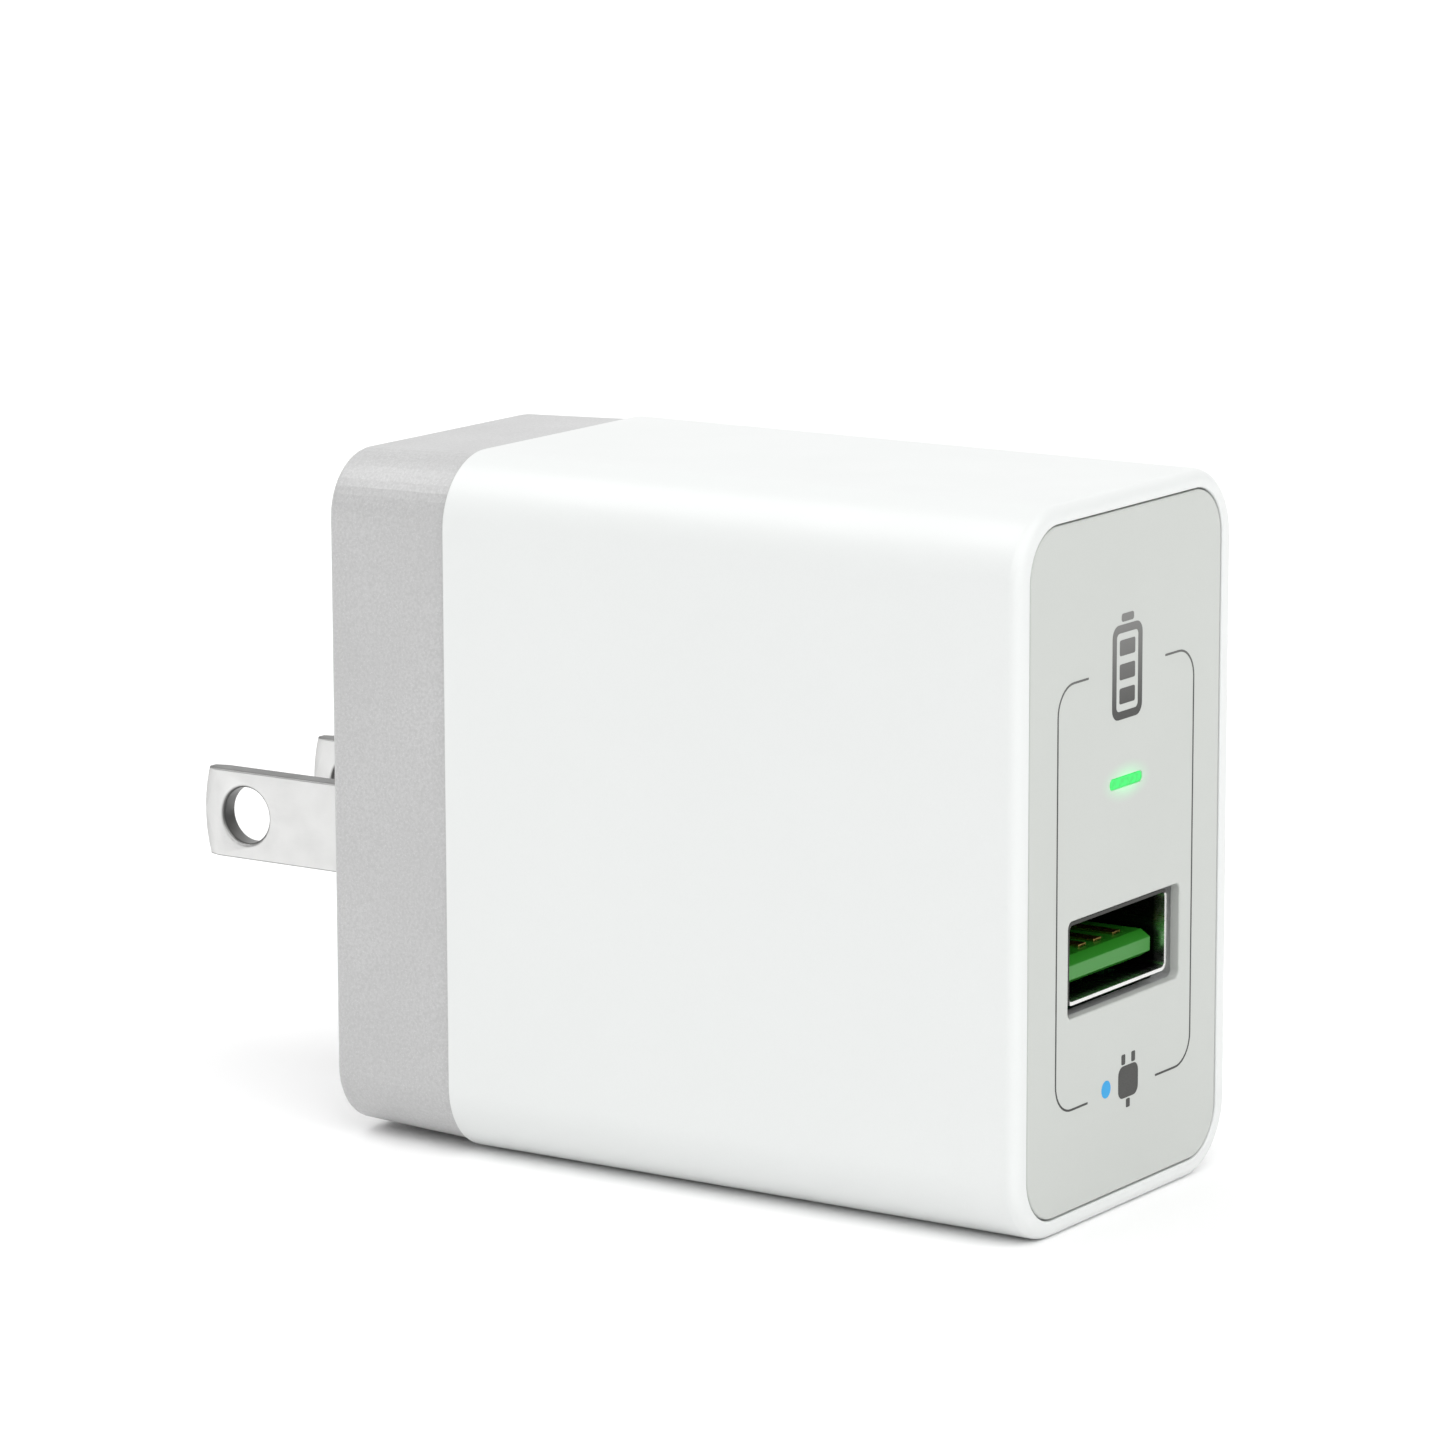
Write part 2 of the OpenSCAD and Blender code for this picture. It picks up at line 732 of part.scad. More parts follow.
// Outline in Y and Z of a blade with its tail, at one inset from the full size
module blade_outline(inset) {
    half = blade_w / 2 - inset;
    arc_r = (half * half + tip_arc * tip_arc) / (2 * tip_arc);
    difference() {
        translate([hinge_y, blade_z - half]) square([swing_r - inset, 2 * half]);
        difference() {
            translate([tip_y - inset - tip_arc, blade_z - half - 1]) square([tip_arc + 1, 2 * half + 2]);
            translate([tip_y - inset - arc_r, blade_z]) circle(arc_r, $fn = 96);
        }
    }
    intersection() {
        translate([hinge_y, blade_z]) circle(blade_w / 2 - inset);
        translate([hinge_y - half, blade_z - half]) square([half, 2 * half]);
    }
    intersection() {
        translate([hinge_y, blade_z]) circle(tail_r);
        translate([hinge_y - tail_r, blade_z - tail_w / 2]) square([tail_r, tail_w]);
    }
}

// The blade's tip is thinned on both sides by a bevel
module blade() {
    difference() {
        intersection() {
            prism_x(-blade_t / 2, blade_t / 2) blade_outline(0);
            blade_plan();
        }
        rod_x(tip_y - blade_hole_in, blade_z, blade_hole_d / 2, -blade_t, blade_t);
    }
}

// Plan of the blade, drawn in X and Y, with both sides of the tip cut back
module blade_plan() {
    half = blade_t / 2;
    translate([0, 0, blade_z - blade_w]) linear_extrude(2 * blade_w) polygon([
        [-half, hinge_y - tail_r - 1], [half, hinge_y - tail_r - 1],
        [half, tip_y - 3 * tip_bevel], [half - tip_bevel, tip_y],
        [-half + tip_bevel, tip_y], [-half, tip_y - 3 * tip_bevel]
    ]);
}

module live_blade() color("lightgray") translate([-blade_x, 0, 0]) blade();

module neutral_blade() color("lightgray") translate([blade_x, 0, 0]) blade();

// Rocker with one square quarter, which lies flush in the opening both when open and when folded
module blade_carrier() color("silver") {
    difference() {
        union() {
            prism_x(-carrier_half, carrier_half) translate([hinge_y, blade_z]) {
                circle(carrier_r);
                translate([0, -carrier_r + carrier_corner]) square([carrier_r, carrier_r - carrier_corner]);
                translate([0, -carrier_r]) square([carrier_r - carrier_corner, carrier_r]);
                translate([carrier_r - carrier_corner, carrier_corner - carrier_r]) circle(carrier_corner);
            }
            rod_x(hinge_y, blade_z, axle_r, -axle_half, axle_half);
        }
        for (side = [-1, 1])
            prism_x(side * blade_x - blade_t / 2, side * blade_x + blade_t / 2) blade_outline(0);
        block([-detent_half, hinge_y - carrier_r - 1, blade_z - carrier_r - 1],
              [detent_half, hinge_y - detent_flat, blade_z + carrier_r + 1]);
        block([-detent_half, hinge_y - carrier_r - 1, blade_z + detent_flat],
              [detent_half, hinge_y + carrier_r + 1, blade_z + carrier_r + 1]);
    }
}

module carrier_bracket() color("whitesmoke") {
    ear_half = axle_r - 0.05;
    difference() {
        union() {
            block([-bracket_half, bracket_y0, blade_z - bracket_h / 2],
                  [bracket_half, bracket_y1, blade_z + bracket_h / 2]);
            block([-3, bracket_y0, post_z[0] - 2.6], [3, bracket_y1, post_z[1] + 2.6]);
            for (side = [-1, 1])
                block([side * 10.4 - 0.8, bracket_y1 - eps, blade_z - ear_half],
                      [side * 10.4 + 0.8, hinge_y - 0.8, blade_z + ear_half]);
        }
        rod_x(hinge_y, blade_z, bearing_r, -body_w, body_w);
        for (z = post_z) rod_y(0, z, 1.2, bracket_y0 - 1, bracket_y1 + 1);
    }
}

// Two pan-head screws with a cross recess
module bracket_screws() color("gray") {
    head_h = 1.2;
    for (z = post_z) difference() {
        union() {
            rod_y(0, z, 1.9, bracket_y0 - head_h, bracket_y0);
            rod_y(0, z, screw_r, bracket_y0 - eps, bracket_y1 + 4.6);
        }
        for (turn = [0, 90]) translate([0, bracket_y0 - head_h, z]) rotate([0, turn, 0])
            cube([2.2, 1.4, 0.45], center = true);
    }
}

// A bowed leaf on the bracket, drawn in Y and Z: its two feet rest on the bracket and its middle reaches apex_y
module bowed_leaf(apex_y, half_span, thick) {
    rise = apex_y - bracket_y1;
    leaf_r = (half_span * half_span + rise * rise) / (2 * rise);
    difference() {
        translate([apex_y - leaf_r, blade_z]) circle(leaf_r, $fn = 128);
        translate([apex_y - leaf_r, blade_z]) circle(leaf_r - thick, $fn = 128);
        translate([bracket_y1 - 4 * leaf_r, blade_z - 2 * leaf_r]) square([4 * leaf_r, 4 * leaf_r]);
    }
}

// Leaf contact behind a blade's tail, with a soldering tab below the bracket
module leaf_contact(x) {
    half_w = 1.2;
    apex = hinge_y - tail_r - 0.06;
    half_span = 4;
    prism_x(x - half_w, x + half_w) bowed_leaf(apex, half_span, spring_t);
    block([x - half_w, bracket_y1, lead_z - 1.2],
          [x + half_w, bracket_y1 + spring_t, blade_z - half_span + 0.3]);
}

module live_contact() color("peru") leaf_contact(-blade_x);

module neutral_contact() color("peru") leaf_contact(blade_x);

module detent_spring() color("lightgray") {
    prism_x(-2.8, 2.8) bowed_leaf(hinge_y - detent_flat - 0.05, 5, 0.3);
}

// Insulated wire through straight stretches with round bends
module wire(points) {
    for (i = [0 : len(points) - 2]) {
        run = points[i + 1] - points[i];
        turn = [0, acos(run[2] / norm(run)), atan2(run[1], run[0])];
        translate(points[i]) rotate(turn) cylinder(h = norm(run), r = lead_r, $fn = 32);
    }
    for (i = [1 : len(points) - 2]) translate(points[i]) sphere(lead_r, $fn = 32);
}

module live_lead() color("firebrick") {
    wire([[-blade_x, bracket_y1, lead_z], [-blade_x, lead_y, lead_z], [-blade_x, lead_y, neutral_pad_z],
          [board_x, lead_y, neutral_pad_z]]);
    board_pin(lead_y, neutral_pad_z, 0.35, board_x - 0.5);
}

module neutral_lead() color("navy") {
    wire([[blade_x, bracket_y1, lead_z], [blade_x, lead_y, lead_z], [board_x, lead_y, lead_z]]);
    board_pin(lead_y, lead_z, 0.35, board_x - 0.5);
}

front_shell();
face_plate();
rear_cover();
light_guide();
indicator_led();
usb_shell();
usb_tongue();
usb_contacts();
usb_board();
board_header();
charge_controller();
main_board();
transformer_core();
transformer_bobbin();
transformer_winding();
transformer_pins();
bulk_capacitors();
output_capacitors();
choke_core();
choke_winding();
fuse();
inrush_thermistor();
bridge_rectifier();
switching_transistor();
primary_controller();
optocoupler();
y_capacitor();
sync_rectifier();
chip_resistors();
chip_capacitors();
heat_spreader();
thermal_pad();
insulating_sheet();
live_blade();
neutral_blade();
blade_carrier();
carrier_bracket();
bracket_screws();
live_contact();
neutral_contact();
detent_spring();
live_lead();
neutral_lead();
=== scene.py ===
import math
from collections import namedtuple

import bmesh
import bpy
from mathutils import Euler, Matrix, Vector


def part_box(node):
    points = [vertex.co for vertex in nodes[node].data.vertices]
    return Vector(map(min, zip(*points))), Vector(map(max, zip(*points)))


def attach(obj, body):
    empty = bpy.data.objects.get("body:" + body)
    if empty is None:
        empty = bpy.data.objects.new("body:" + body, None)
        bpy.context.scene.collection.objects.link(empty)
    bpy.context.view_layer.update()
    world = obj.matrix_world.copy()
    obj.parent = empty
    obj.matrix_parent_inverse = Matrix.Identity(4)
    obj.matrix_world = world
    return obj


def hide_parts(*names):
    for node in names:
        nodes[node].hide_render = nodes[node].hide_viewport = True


# Looks of the USB wall charger, built around its CAD frame.
# Metres, +Z up, the USB face towards -Y, the blades towards +Y, the base at Z = 0.

MM = 0.001

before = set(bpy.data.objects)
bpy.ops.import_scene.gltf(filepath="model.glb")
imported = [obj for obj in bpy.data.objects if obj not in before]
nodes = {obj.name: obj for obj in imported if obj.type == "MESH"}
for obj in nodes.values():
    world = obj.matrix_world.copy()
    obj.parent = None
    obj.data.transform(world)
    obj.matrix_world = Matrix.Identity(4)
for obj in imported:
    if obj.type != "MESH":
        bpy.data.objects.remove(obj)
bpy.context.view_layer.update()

# ---- Sizes, from the frame where it holds them ----

shell_low, shell_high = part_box("front_shell")
plate_low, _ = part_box("face_plate")
_, guide_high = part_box("light_guide")
port_low, port_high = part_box("usb_shell")
board_low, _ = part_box("main_board")
blade_low, blade_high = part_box("live_blade")

BODY_W = shell_high.x - shell_low.x
BODY_H = shell_high.z - shell_low.z
FRONT_Y = shell_low.y
SEAM_Y = shell_high.y
PLATE_Y = plate_low.y
PORT_Z = (port_low.z + port_high.z) / 2
PORT_Y = port_low.y

CORNER_R = 5 * MM
RECESS_W = 25 * MM
RECESS_H = 46 * MM
RECESS_R = 3.5 * MM
WALL = 2 * MM
LIP_T = 1 * MM
LIP_L = 2.5 * MM
PLATE_T = 0.7 * MM
FRONT_WALL_T = 1.5 * MM
PLATE_GAP = 0.12 * MM
PLATE_BACK_Y = PLATE_Y + PLATE_T
CAVITY_Y = PLATE_BACK_Y + FRONT_WALL_T

# Roundings that moulded edges have
RIM_EDGE_R = 0.8 * MM
RIM_INNER_R = 0.12 * MM
SEAM_EDGE_R = 0.14 * MM
PLATE_EDGE_R = 0.14 * MM
WINDOW_EDGE_R = 0.12 * MM
SLOT_EDGE_R = 0.05 * MM
# Width of the narrow flat ring beside each rounding, which keeps the flat face's shading even
FLAT_BAND = 0.15 * MM

LIGHT_Z = guide_high.z - 1.2 * MM
SLOT_W = 4.26 * MM
SLOT_H = 0.76 * MM
WINDOW_W = 14.6 * MM
WINDOW_H = 6.5 * MM
WINDOW_Z = PORT_Z - 0.2 * MM
WINDOW_R = 0.5 * MM
WALL_STEP = 0.3 * MM
PEG_X = 9.5 * MM
PEG_IN_Z = 5.5 * MM
PEG_R = 0.9 * MM

# Blades and the hinge that they fold on
BLADE_X = (blade_low.x + blade_high.x) / 2
BLADE_T = blade_high.x - blade_low.x
BLADE_W = blade_high.z - blade_low.z
BLADE_Z = (blade_low.z + blade_high.z) / 2
TIP_Y = blade_high.y
TIP_ARC = 0.6 * MM
TIP_BEVEL = 0.5 * MM
TIP_BEVEL_L = 3 * TIP_BEVEL
TAIL_R = 4.5 * MM
TAIL_W = 2 * MM
HINGE_Y = blade_low.y + TAIL_R
HOLE_R = 2 * MM
HOLE_IN = 4 * MM
HOLE_EDGE_R = 0.3 * MM
BLADE_EDGE_R = 0.16 * MM

# Printing on the face plate
INK_T = 0.012 * MM
INK_LINE = 0.15 * MM
FRAME_HALF_W = 8.85 * MM
FRAME_TOP_Z = 36.6 * MM
FRAME_LOW_Z = 8.2 * MM
FRAME_R = 2 * MM

# Smoothness of the round shapes
CORNER_STEPS = 20
FILLET_STEPS = 5
SHARP_ANGLE = math.radians(38)

# ---- Mesh tools ----

# A rounded rectangle in X and Z
Outline = namedtuple("Outline", "w h r x z")


def outline(w, h, r, x=0.0, z=BODY_H / 2):
    return Outline(w, h, r, x, z)


def grown(shape, by):
    """The same outline, moved out all round."""
    return Outline(shape.w + 2 * by, shape.h + 2 * by, shape.r + by, shape.x, shape.z)


CASING = outline(BODY_W, BODY_H, CORNER_R)
RECESS = outline(RECESS_W, RECESS_H, RECESS_R)
PLATE = grown(RECESS, -PLATE_GAP)
WINDOW = outline(WINDOW_W, WINDOW_H, WINDOW_R, z=WINDOW_Z)
SLOT = outline(SLOT_W, SLOT_H, SLOT_H / 2 - 0.02 * MM, z=LIGHT_Z)
WALL_WINDOW = outline(WINDOW_W + 2 * WALL_STEP, WINDOW_H + 2 * WALL_STEP, WINDOW_R, z=WINDOW_Z)
WALL_SLOT = outline(4.4 * MM, 0.9 * MM, 0.4 * MM, z=LIGHT_Z)


def ring_points(shape, y, steps=CORNER_STEPS):
    """Points round an outline at one place along Y, the same number for every outline."""
    points = []
    for quarter, (side_x, side_z) in enumerate(((1, 1), (-1, 1), (-1, -1), (1, -1))):
        centre_x = shape.x + side_x * (shape.w / 2 - shape.r)
        centre_z = shape.z + side_z * (shape.h / 2 - shape.r)
        for i in range(steps + 1):
            turn = (quarter + i / steps) * math.pi / 2
            x = centre_x + shape.r * math.cos(turn)
            z = centre_z + shape.r * math.sin(turn)
            points.append(Vector((x, y, z)))
    return points


def circle_points(x, z, r, y, steps=32):
    turns = [2 * math.pi * i / steps for i in range(steps)]
    return [Vector((x + r * math.cos(t), y, z + r * math.sin(t))) for t in turns]


def loop_of(bm, points):
    return [bm.verts.new(p) for p in points]


def bridge(bm, near, far):
    """Quads between two loops with the same number of points."""
    for i in range(len(near)):
        bm.faces.new((near[i - 1], near[i], far[i], far[i - 1]))


def loft(bm, rings):
    """A skin through rings of points; gives back its vertex loops."""
    loops = [loop_of(bm, ring) for ring in rings]
    for near, far in zip(loops, loops[1:]):
        bridge(bm, near, far)
    return loops


def fill(bm, *loops):
    """Flat faces inside the first loop and outside the others."""
    edges = []
    for loop in loops:
        for i in range(len(loop)):
            edges.append(bm.edges.get((loop[i - 1], loop[i])) or bm.edges.new((loop[i - 1], loop[i])))
    bmesh.ops.triangle_fill(bm, use_beauty=True, use_dissolve=False, edges=edges)


def fillet(shape, y_side, y_face, radius, steps=FILLET_STEPS):
    """Rings that round a convex edge: from the side wall, at y_side, over to the flat at y_face."""
    towards = 1 if y_face > y_side else -1
    rings = []
    for i in range(steps + 1):
        turn = math.pi / 2 * i / steps
        inset = radius * (1 - math.cos(turn))
        y = y_face - towards * radius * (1 - math.sin(turn))
        rings.append(ring_points(grown(shape, -inset), y))
    rings.append(ring_points(grown(shape, -radius - FLAT_BAND), y_face))
    return rings


def hole_fillet(shape, y_face, inward, radius, steps=FILLET_STEPS):
    """Rings that round a hole's mouth: from the flat at y_face into the hole, which runs along inward."""
    rings = [ring_points(grown(shape, radius + FLAT_BAND), y_face)]
    for i in range(steps + 1):
        turn = math.pi / 2 * i / steps
        rings.append(ring_points(grown(shape, radius * (1 - math.sin(turn))),
                                 y_face + inward * radius * (1 - math.cos(turn))))
    return rings


def prism(bm, points, y0, y1):
    """A closed solid from an outline of (x, z) points, between two places along Y."""
    near = loop_of(bm, [Vector((x, y0, z)) for x, z in points])
    far = loop_of(bm, [Vector((x, y1, z)) for x, z in points])
    bridge(bm, near, far)
    fill(bm, near)
    fill(bm, far)


def block(bm, low, high):
    """A box between two corners."""
    made = bmesh.ops.create_cube(bm, size=1)
    size = Vector(high) - Vector(low)
    centre = (Vector(high) + Vector(low)) / 2
    bmesh.ops.transform(bm, matrix=Matrix.Translation(centre) @ Matrix.Diagonal((*size, 1)),
                        verts=made["verts"])


def rounded_rod(bm, x, z, r, y0, y1, edge):
    """A rod along Y with a rounded edge at y0."""
    rings = [circle_points(x, z, r - edge * (1 - math.sin(t)), y0 + edge * (1 - math.cos(t)))
             for t in (0, math.pi / 6, math.pi / 3, math.pi / 2)]
    rings.append(circle_points(x, z, r, y1))
    loops = loft(bm, rings)
    fill(bm, loops[0])
    fill(bm, loops[-1])


def weighted_normals(obj):
    modifier = obj.modifiers.new("flat_faces_stay_flat", "WEIGHTED_NORMAL")
    modifier.keep_sharp = True
    modifier.weight = 90


def piece(name, bm, material, body="casing"):
    """Makes an object of the mesh, shaded smooth up to SHARP_ANGLE, that rides on a body."""
    bmesh.ops.recalc_face_normals(bm, faces=bm.faces)
    for face in bm.faces:
        face.smooth = True
    for edge in bm.edges:
        edge.smooth = edge.calc_face_angle(0) < SHARP_ANGLE
    mesh = bpy.data.meshes.new(name)
    bm.to_mesh(mesh)
    bm.free()
    mesh.materials.append(material)
    obj = bpy.data.objects.new(name, mesh)
    bpy.context.scene.collection.objects.link(obj)
    weighted_normals(obj)
    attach(obj, body)
    return obj


# ---- Material tools ----

def srgb(r, g, b):
    """A linear colour from the usual 0 to 255 values."""
    def linear(v):
        v /= 255
        return v / 12.92 if v <= 0.04045 else ((v + 0.055) / 1.055) ** 2.4
    return (linear(r), linear(g), linear(b), 1)


def tinted(colour, factor):
    return (*(min(1, c * factor) for c in colour[:3]), 1)


class Surface:
    """A Principled material and the pattern nodes that feed it, all in object space."""

    def __init__(self, name, colour, roughness, metallic=0.0):
        self.material = bpy.data.materials.new(name)
        self.material.use_nodes = True
        self.tree = self.material.node_tree
        self.shader = self.tree.nodes["Principled BSDF"]
        coordinates = self.tree.nodes.new("ShaderNodeTexCoord").outputs
        self.place = coordinates["Object"]
        self.normal = coordinates["Normal"]
        self.set("Base Color", colour)
        self.set("Roughness", roughness)
        self.set("Metallic", metallic)

    def set(self, socket, value):
        self.shader.inputs[socket].default_value = value

    def node(self, kind, **inputs):
        made = self.tree.nodes.new(kind)
        for name, value in inputs.items():
            self.feed(made.inputs[name.replace("_", " ")], value)
        return made

    def feed(self, socket, value):
        if isinstance(value, bpy.types.NodeSocket):
            self.tree.links.new(value, socket)
        else:
            socket.default_value = value

    def stretched(self, stretch):
        """Object coordinates, drawn out along an axis where stretch is over 1."""
        node = self.node("ShaderNodeMapping", Vector=self.place)
        node.inputs["Scale"].default_value = [1 / s for s in stretch]
        return node.outputs["Vector"]

    def noise(self, size, detail=2.0, stretch=None, roughness=0.5):
        place = self.stretched(stretch) if stretch else self.place
        node = self.node("ShaderNodeTexNoise", Vector=place, Scale=1 / size, Detail=detail,
                         Roughness=roughness)
        return node.outputs["Fac"]

    def cells(self, size):
        node = self.node("ShaderNodeTexVoronoi", Vector=self.place, Scale=1 / size)
        return node.outputs["Distance"]

    def ramp(self, value, low, high, to_low=0.0, to_high=1.0):
        node = self.tree.nodes.new("ShaderNodeMapRange")
        self.feed(node.inputs["Value"], value)
        node.inputs["From Min"].default_value = low
        node.inputs["From Max"].default_value = high
        node.inputs["To Min"].default_value = to_low
        node.inputs["To Max"].default_value = to_high
        return node.outputs["Result"]

    def math(self, operation, a, b):
        node = self.tree.nodes.new("ShaderNodeMath")
        node.operation = operation
        self.feed(node.inputs[0], a)
        self.feed(node.inputs[1], b)
        return node.outputs["Value"]

    def mix(self, factor, a, b):
        node = self.tree.nodes.new("ShaderNodeMix")
        node.data_type = "RGBA"
        self.feed(node.inputs[0], factor)
        self.feed(node.inputs[6], a)
        self.feed(node.inputs[7], b)
        return node.outputs[2]

    def paint(self, colour):
        self.feed(self.shader.inputs["Base Color"], colour)

    def vary_roughness(self, value, low, high):
        self.feed(self.shader.inputs["Roughness"], self.ramp(value, 0.3, 0.7, low, high))

    def relief(self, height, depth):
        """Adds a bump of this depth, in metres, on top of the ones there are."""
        node = self.tree.nodes.new("ShaderNodeBump")
        node.inputs["Distance"].default_value = depth
        self.feed(node.inputs["Height"], height)
        socket = self.shader.inputs["Normal"]
        if socket.is_linked:
            self.tree.links.new(socket.links[0].from_socket, node.inputs["Normal"])
        self.tree.links.new(node.outputs["Normal"], socket)


def moulded(name, colour, roughness, grain=0.16 * MM, depth=0.6e-6, speck=0.02, spec=0.5):
    """Moulded plastic: a fine spark-eroded texture, faint flow marks and specks of tint."""
    surface = Surface(name, colour, roughness)
    surface.set("Specular IOR Level", spec)
    fine = surface.noise(grain, detail=3)
    flow = surface.noise(9 * MM, detail=2)
    shade = surface.mix(surface.ramp(fine, 0.35, 0.65), tinted(colour, 1 - speck), tinted(colour, 1 + speck))
    surface.paint(surface.mix(surface.ramp(flow, 0.3, 0.7, 0, 0.35), shade, tinted(colour, 1 - speck)))
    surface.vary_roughness(flow, roughness - 0.04, roughness + 0.05)
    surface.relief(fine, depth)
    return surface


def brushed(name, colour, roughness, run=(1, 40, 1), line=0.05 * MM, depth=0.4e-6, blotch=0.06):
    """Drawn or stamped metal: fine lines along one axis, uneven gloss and a few dull spots."""
    surface = Surface(name, colour, roughness, metallic=1.0)
    lines = surface.noise(line, detail=2, stretch=run)
    handling = surface.noise(1.6 * MM, detail=4, roughness=0.6)
    surface.paint(surface.mix(surface.ramp(handling, 0.35, 0.75), colour, tinted(colour, 1 - blotch)))
    gloss = surface.math("ADD", surface.math("MULTIPLY", lines, 0.4), surface.math("MULTIPLY", handling, 0.6))
    surface.vary_roughness(gloss, roughness - 0.07, roughness + 0.1)
    surface.relief(lines, depth)
    return surface


def port_steel():
    """Drawn sheet in its own bright colour at the mouth's lower and +X edges, with painted shade inside the
    mouth and along its top and -X edges.
    """
    surface = brushed("port_steel", srgb(226, 226, 224), 0.25)
    bright = surface.shader.inputs["Base Color"].links[0].from_socket
    place = surface.node("ShaderNodeSeparateXYZ", Vector=surface.place).outputs
    inside = surface.ramp(place["Y"], PORT_Y + 0.1 * MM, PORT_Y + 0.9 * MM)
    upper = surface.ramp(place["Z"], port_high.z - 0.4 * MM, port_high.z - 0.3 * MM)
    left = surface.ramp(place["X"], port_low.x + 0.3 * MM, port_low.x + 0.4 * MM, 1, 0)
    # Painted shade: the sheet is painted dark inside the mouth and along its top and -X edges, which stand in
    # shade.
    port_painted_shade = surface.math("MAXIMUM", inside, surface.math("MAXIMUM", upper, left))
    surface.paint(surface.mix(port_painted_shade, bright, srgb(58, 58, 56)))
    return surface


def blade_nickel():
    """Plated brass: fine lines along the blade; edges, bevels and the hole, which face away from X, are
    painted dark, partly as the duller metal where it was punched and partly as painted shade and reflection.
    """
    surface = brushed("blade_nickel", srgb(222, 222, 221), 0.36, run=(1, 60, 1), depth=0.5e-6, blotch=0.02)
    plated = surface.shader.inputs["Base Color"].links[0].from_socket
    facing = surface.node("ShaderNodeSeparateXYZ", Vector=surface.normal).outputs["X"]
    # Painted shade and reflection: faces that don't face +-X (edges, bevels, the hole's wall) get the dark
    # colour, partly for the duller punched metal.
    side = surface.ramp(surface.math("ABSOLUTE", facing, 0.0), 0.75, 0.99)
    surface.paint(surface.mix(side, srgb(120, 120, 119), plated))
    return surface


def glossy_coat(name, colour, roughness=0.22, depth=6e-6):
    """Dipped or shrunk plastic with a soft, slightly uneven surface."""
    surface = Surface(name, colour, roughness)
    wave = surface.noise(1.8 * MM, detail=1)
    dust = surface.noise(0.2 * MM, detail=3)
    surface.paint(surface.mix(surface.ramp(dust, 0.4, 0.8, 0, 0.3), colour, tinted(colour, 1.25)))
    surface.vary_roughness(dust, roughness - 0.03, roughness + 0.08)
    surface.relief(wave, depth)
    return surface


# ---- Materials ----

def shell_white():
    return moulded("white_plastic", srgb(221, 223, 222), 0.34, grain=0.12 * MM, depth=0.35e-6, speck=0.006)


def cover_grey():
    """Grey plastic with fine metallic flakes."""
    surface = moulded("silver_grey_plastic", srgb(181, 181, 181), 0.37, grain=0.2 * MM, depth=2e-6,
                       speck=0.08, spec=0.8)
    flakes = surface.cells(0.14 * MM)
    base = surface.shader.inputs["Base Color"].links[0].from_socket
    surface.paint(surface.mix(surface.ramp(flakes, 0.0, 0.3, 0.5, 0), base, srgb(226, 226, 227)))
    return surface


def painted_glow_round_slot(surface, reach_x, reach_z):
    """Mask for the painted glow: 1 at the light slot, falling to 0 at reach."""
    node = surface.node("ShaderNodeMapping", Vector=surface.place)
    node.vector_type = "POINT"
    node.inputs["Scale"].default_value = (1 / reach_x, 1 / reach_x, 1 / reach_z)
    node.inputs["Location"].default_value = (0, -PLATE_Y / reach_x, -LIGHT_Z / reach_z)
    ball = surface.node("ShaderNodeTexGradient", Vector=node.outputs["Vector"])
    ball.gradient_type = "SPHERICAL"
    return ball.outputs["Fac"]


def face_grey():
    colour = srgb(191, 194, 190)
    surface = moulded("face_plate_plastic", colour, 0.42, grain=0.14 * MM, depth=0.4e-6, speck=0.008)
    # Painted glow: the plate round the light slot is tinted pale green and made to emit, standing in for the
    # light guide's spill.
    painted_glow = surface.math("POWER", painted_glow_round_slot(surface, 3.4 * MM, 1.5 * MM), 1.6)
    base = surface.shader.inputs["Base Color"].links[0].from_socket
    surface.paint(surface.mix(surface.math("MULTIPLY", painted_glow, 0.6), base, srgb(165, 245, 185)))
    surface.feed(surface.shader.inputs["Emission Color"], surface.mix(painted_glow, (0, 0, 0, 1), srgb(60, 235, 120)))
    surface.set("Emission Strength", 0.35)
    return surface


def ink_dark():
    """Pad-printed ink, paler towards the top of the mark."""
    surface = Surface("printed_ink", srgb(62, 62, 60), 0.5)
    height = surface.node("ShaderNodeSeparateXYZ", Vector=surface.place).outputs["Z"]
    fade = surface.ramp(height, FRAME_TOP_Z - 3 * MM, FRAME_TOP_Z + 4 * MM)
    grain = surface.noise(0.06 * MM, detail=2)
    ink = surface.mix(fade, srgb(50, 50, 48), srgb(122, 122, 120))
    surface.paint(surface.mix(surface.ramp(grain, 0.4, 0.8, 0, 0.25), ink, srgb(120, 120, 118)))
    surface.vary_roughness(grain, 0.45, 0.6)
    return surface


def ink_blue():
    surface = Surface("printed_ink_blue", srgb(20, 155, 215), 0.45)
    grain = surface.noise(0.06 * MM, detail=2)
    surface.paint(surface.mix(surface.ramp(grain, 0.4, 0.8, 0, 0.2), srgb(12, 150, 212), srgb(90, 190, 230)))
    surface.vary_roughness(grain, 0.4, 0.55)
    return surface


def clear_guide():
    """Clear moulding, lit green from inside, unevenly bright in soft clouds."""
    surface = Surface("lit_light_guide", srgb(12, 110, 45), 0.32)
    cloud = surface.noise(0.35 * MM, detail=2)
    surface.feed(surface.shader.inputs["Emission Color"],
                 surface.mix(surface.ramp(cloud, 0.3, 0.7), srgb(18, 214, 84), srgb(34, 240, 108)))
    surface.set("Emission Strength", 0.9)
    surface.vary_roughness(cloud, 0.3, 0.4)
    return surface


def led_resin():
    surface = Surface("led_resin", srgb(170, 250, 190), 0.25)
    cloud = surface.noise(0.4 * MM, detail=1)
    surface.feed(surface.shader.inputs["Emission Color"],
                 surface.mix(cloud, srgb(30, 220, 100), srgb(110, 255, 150)))
    surface.set("Emission Strength", 1.2)
    return surface


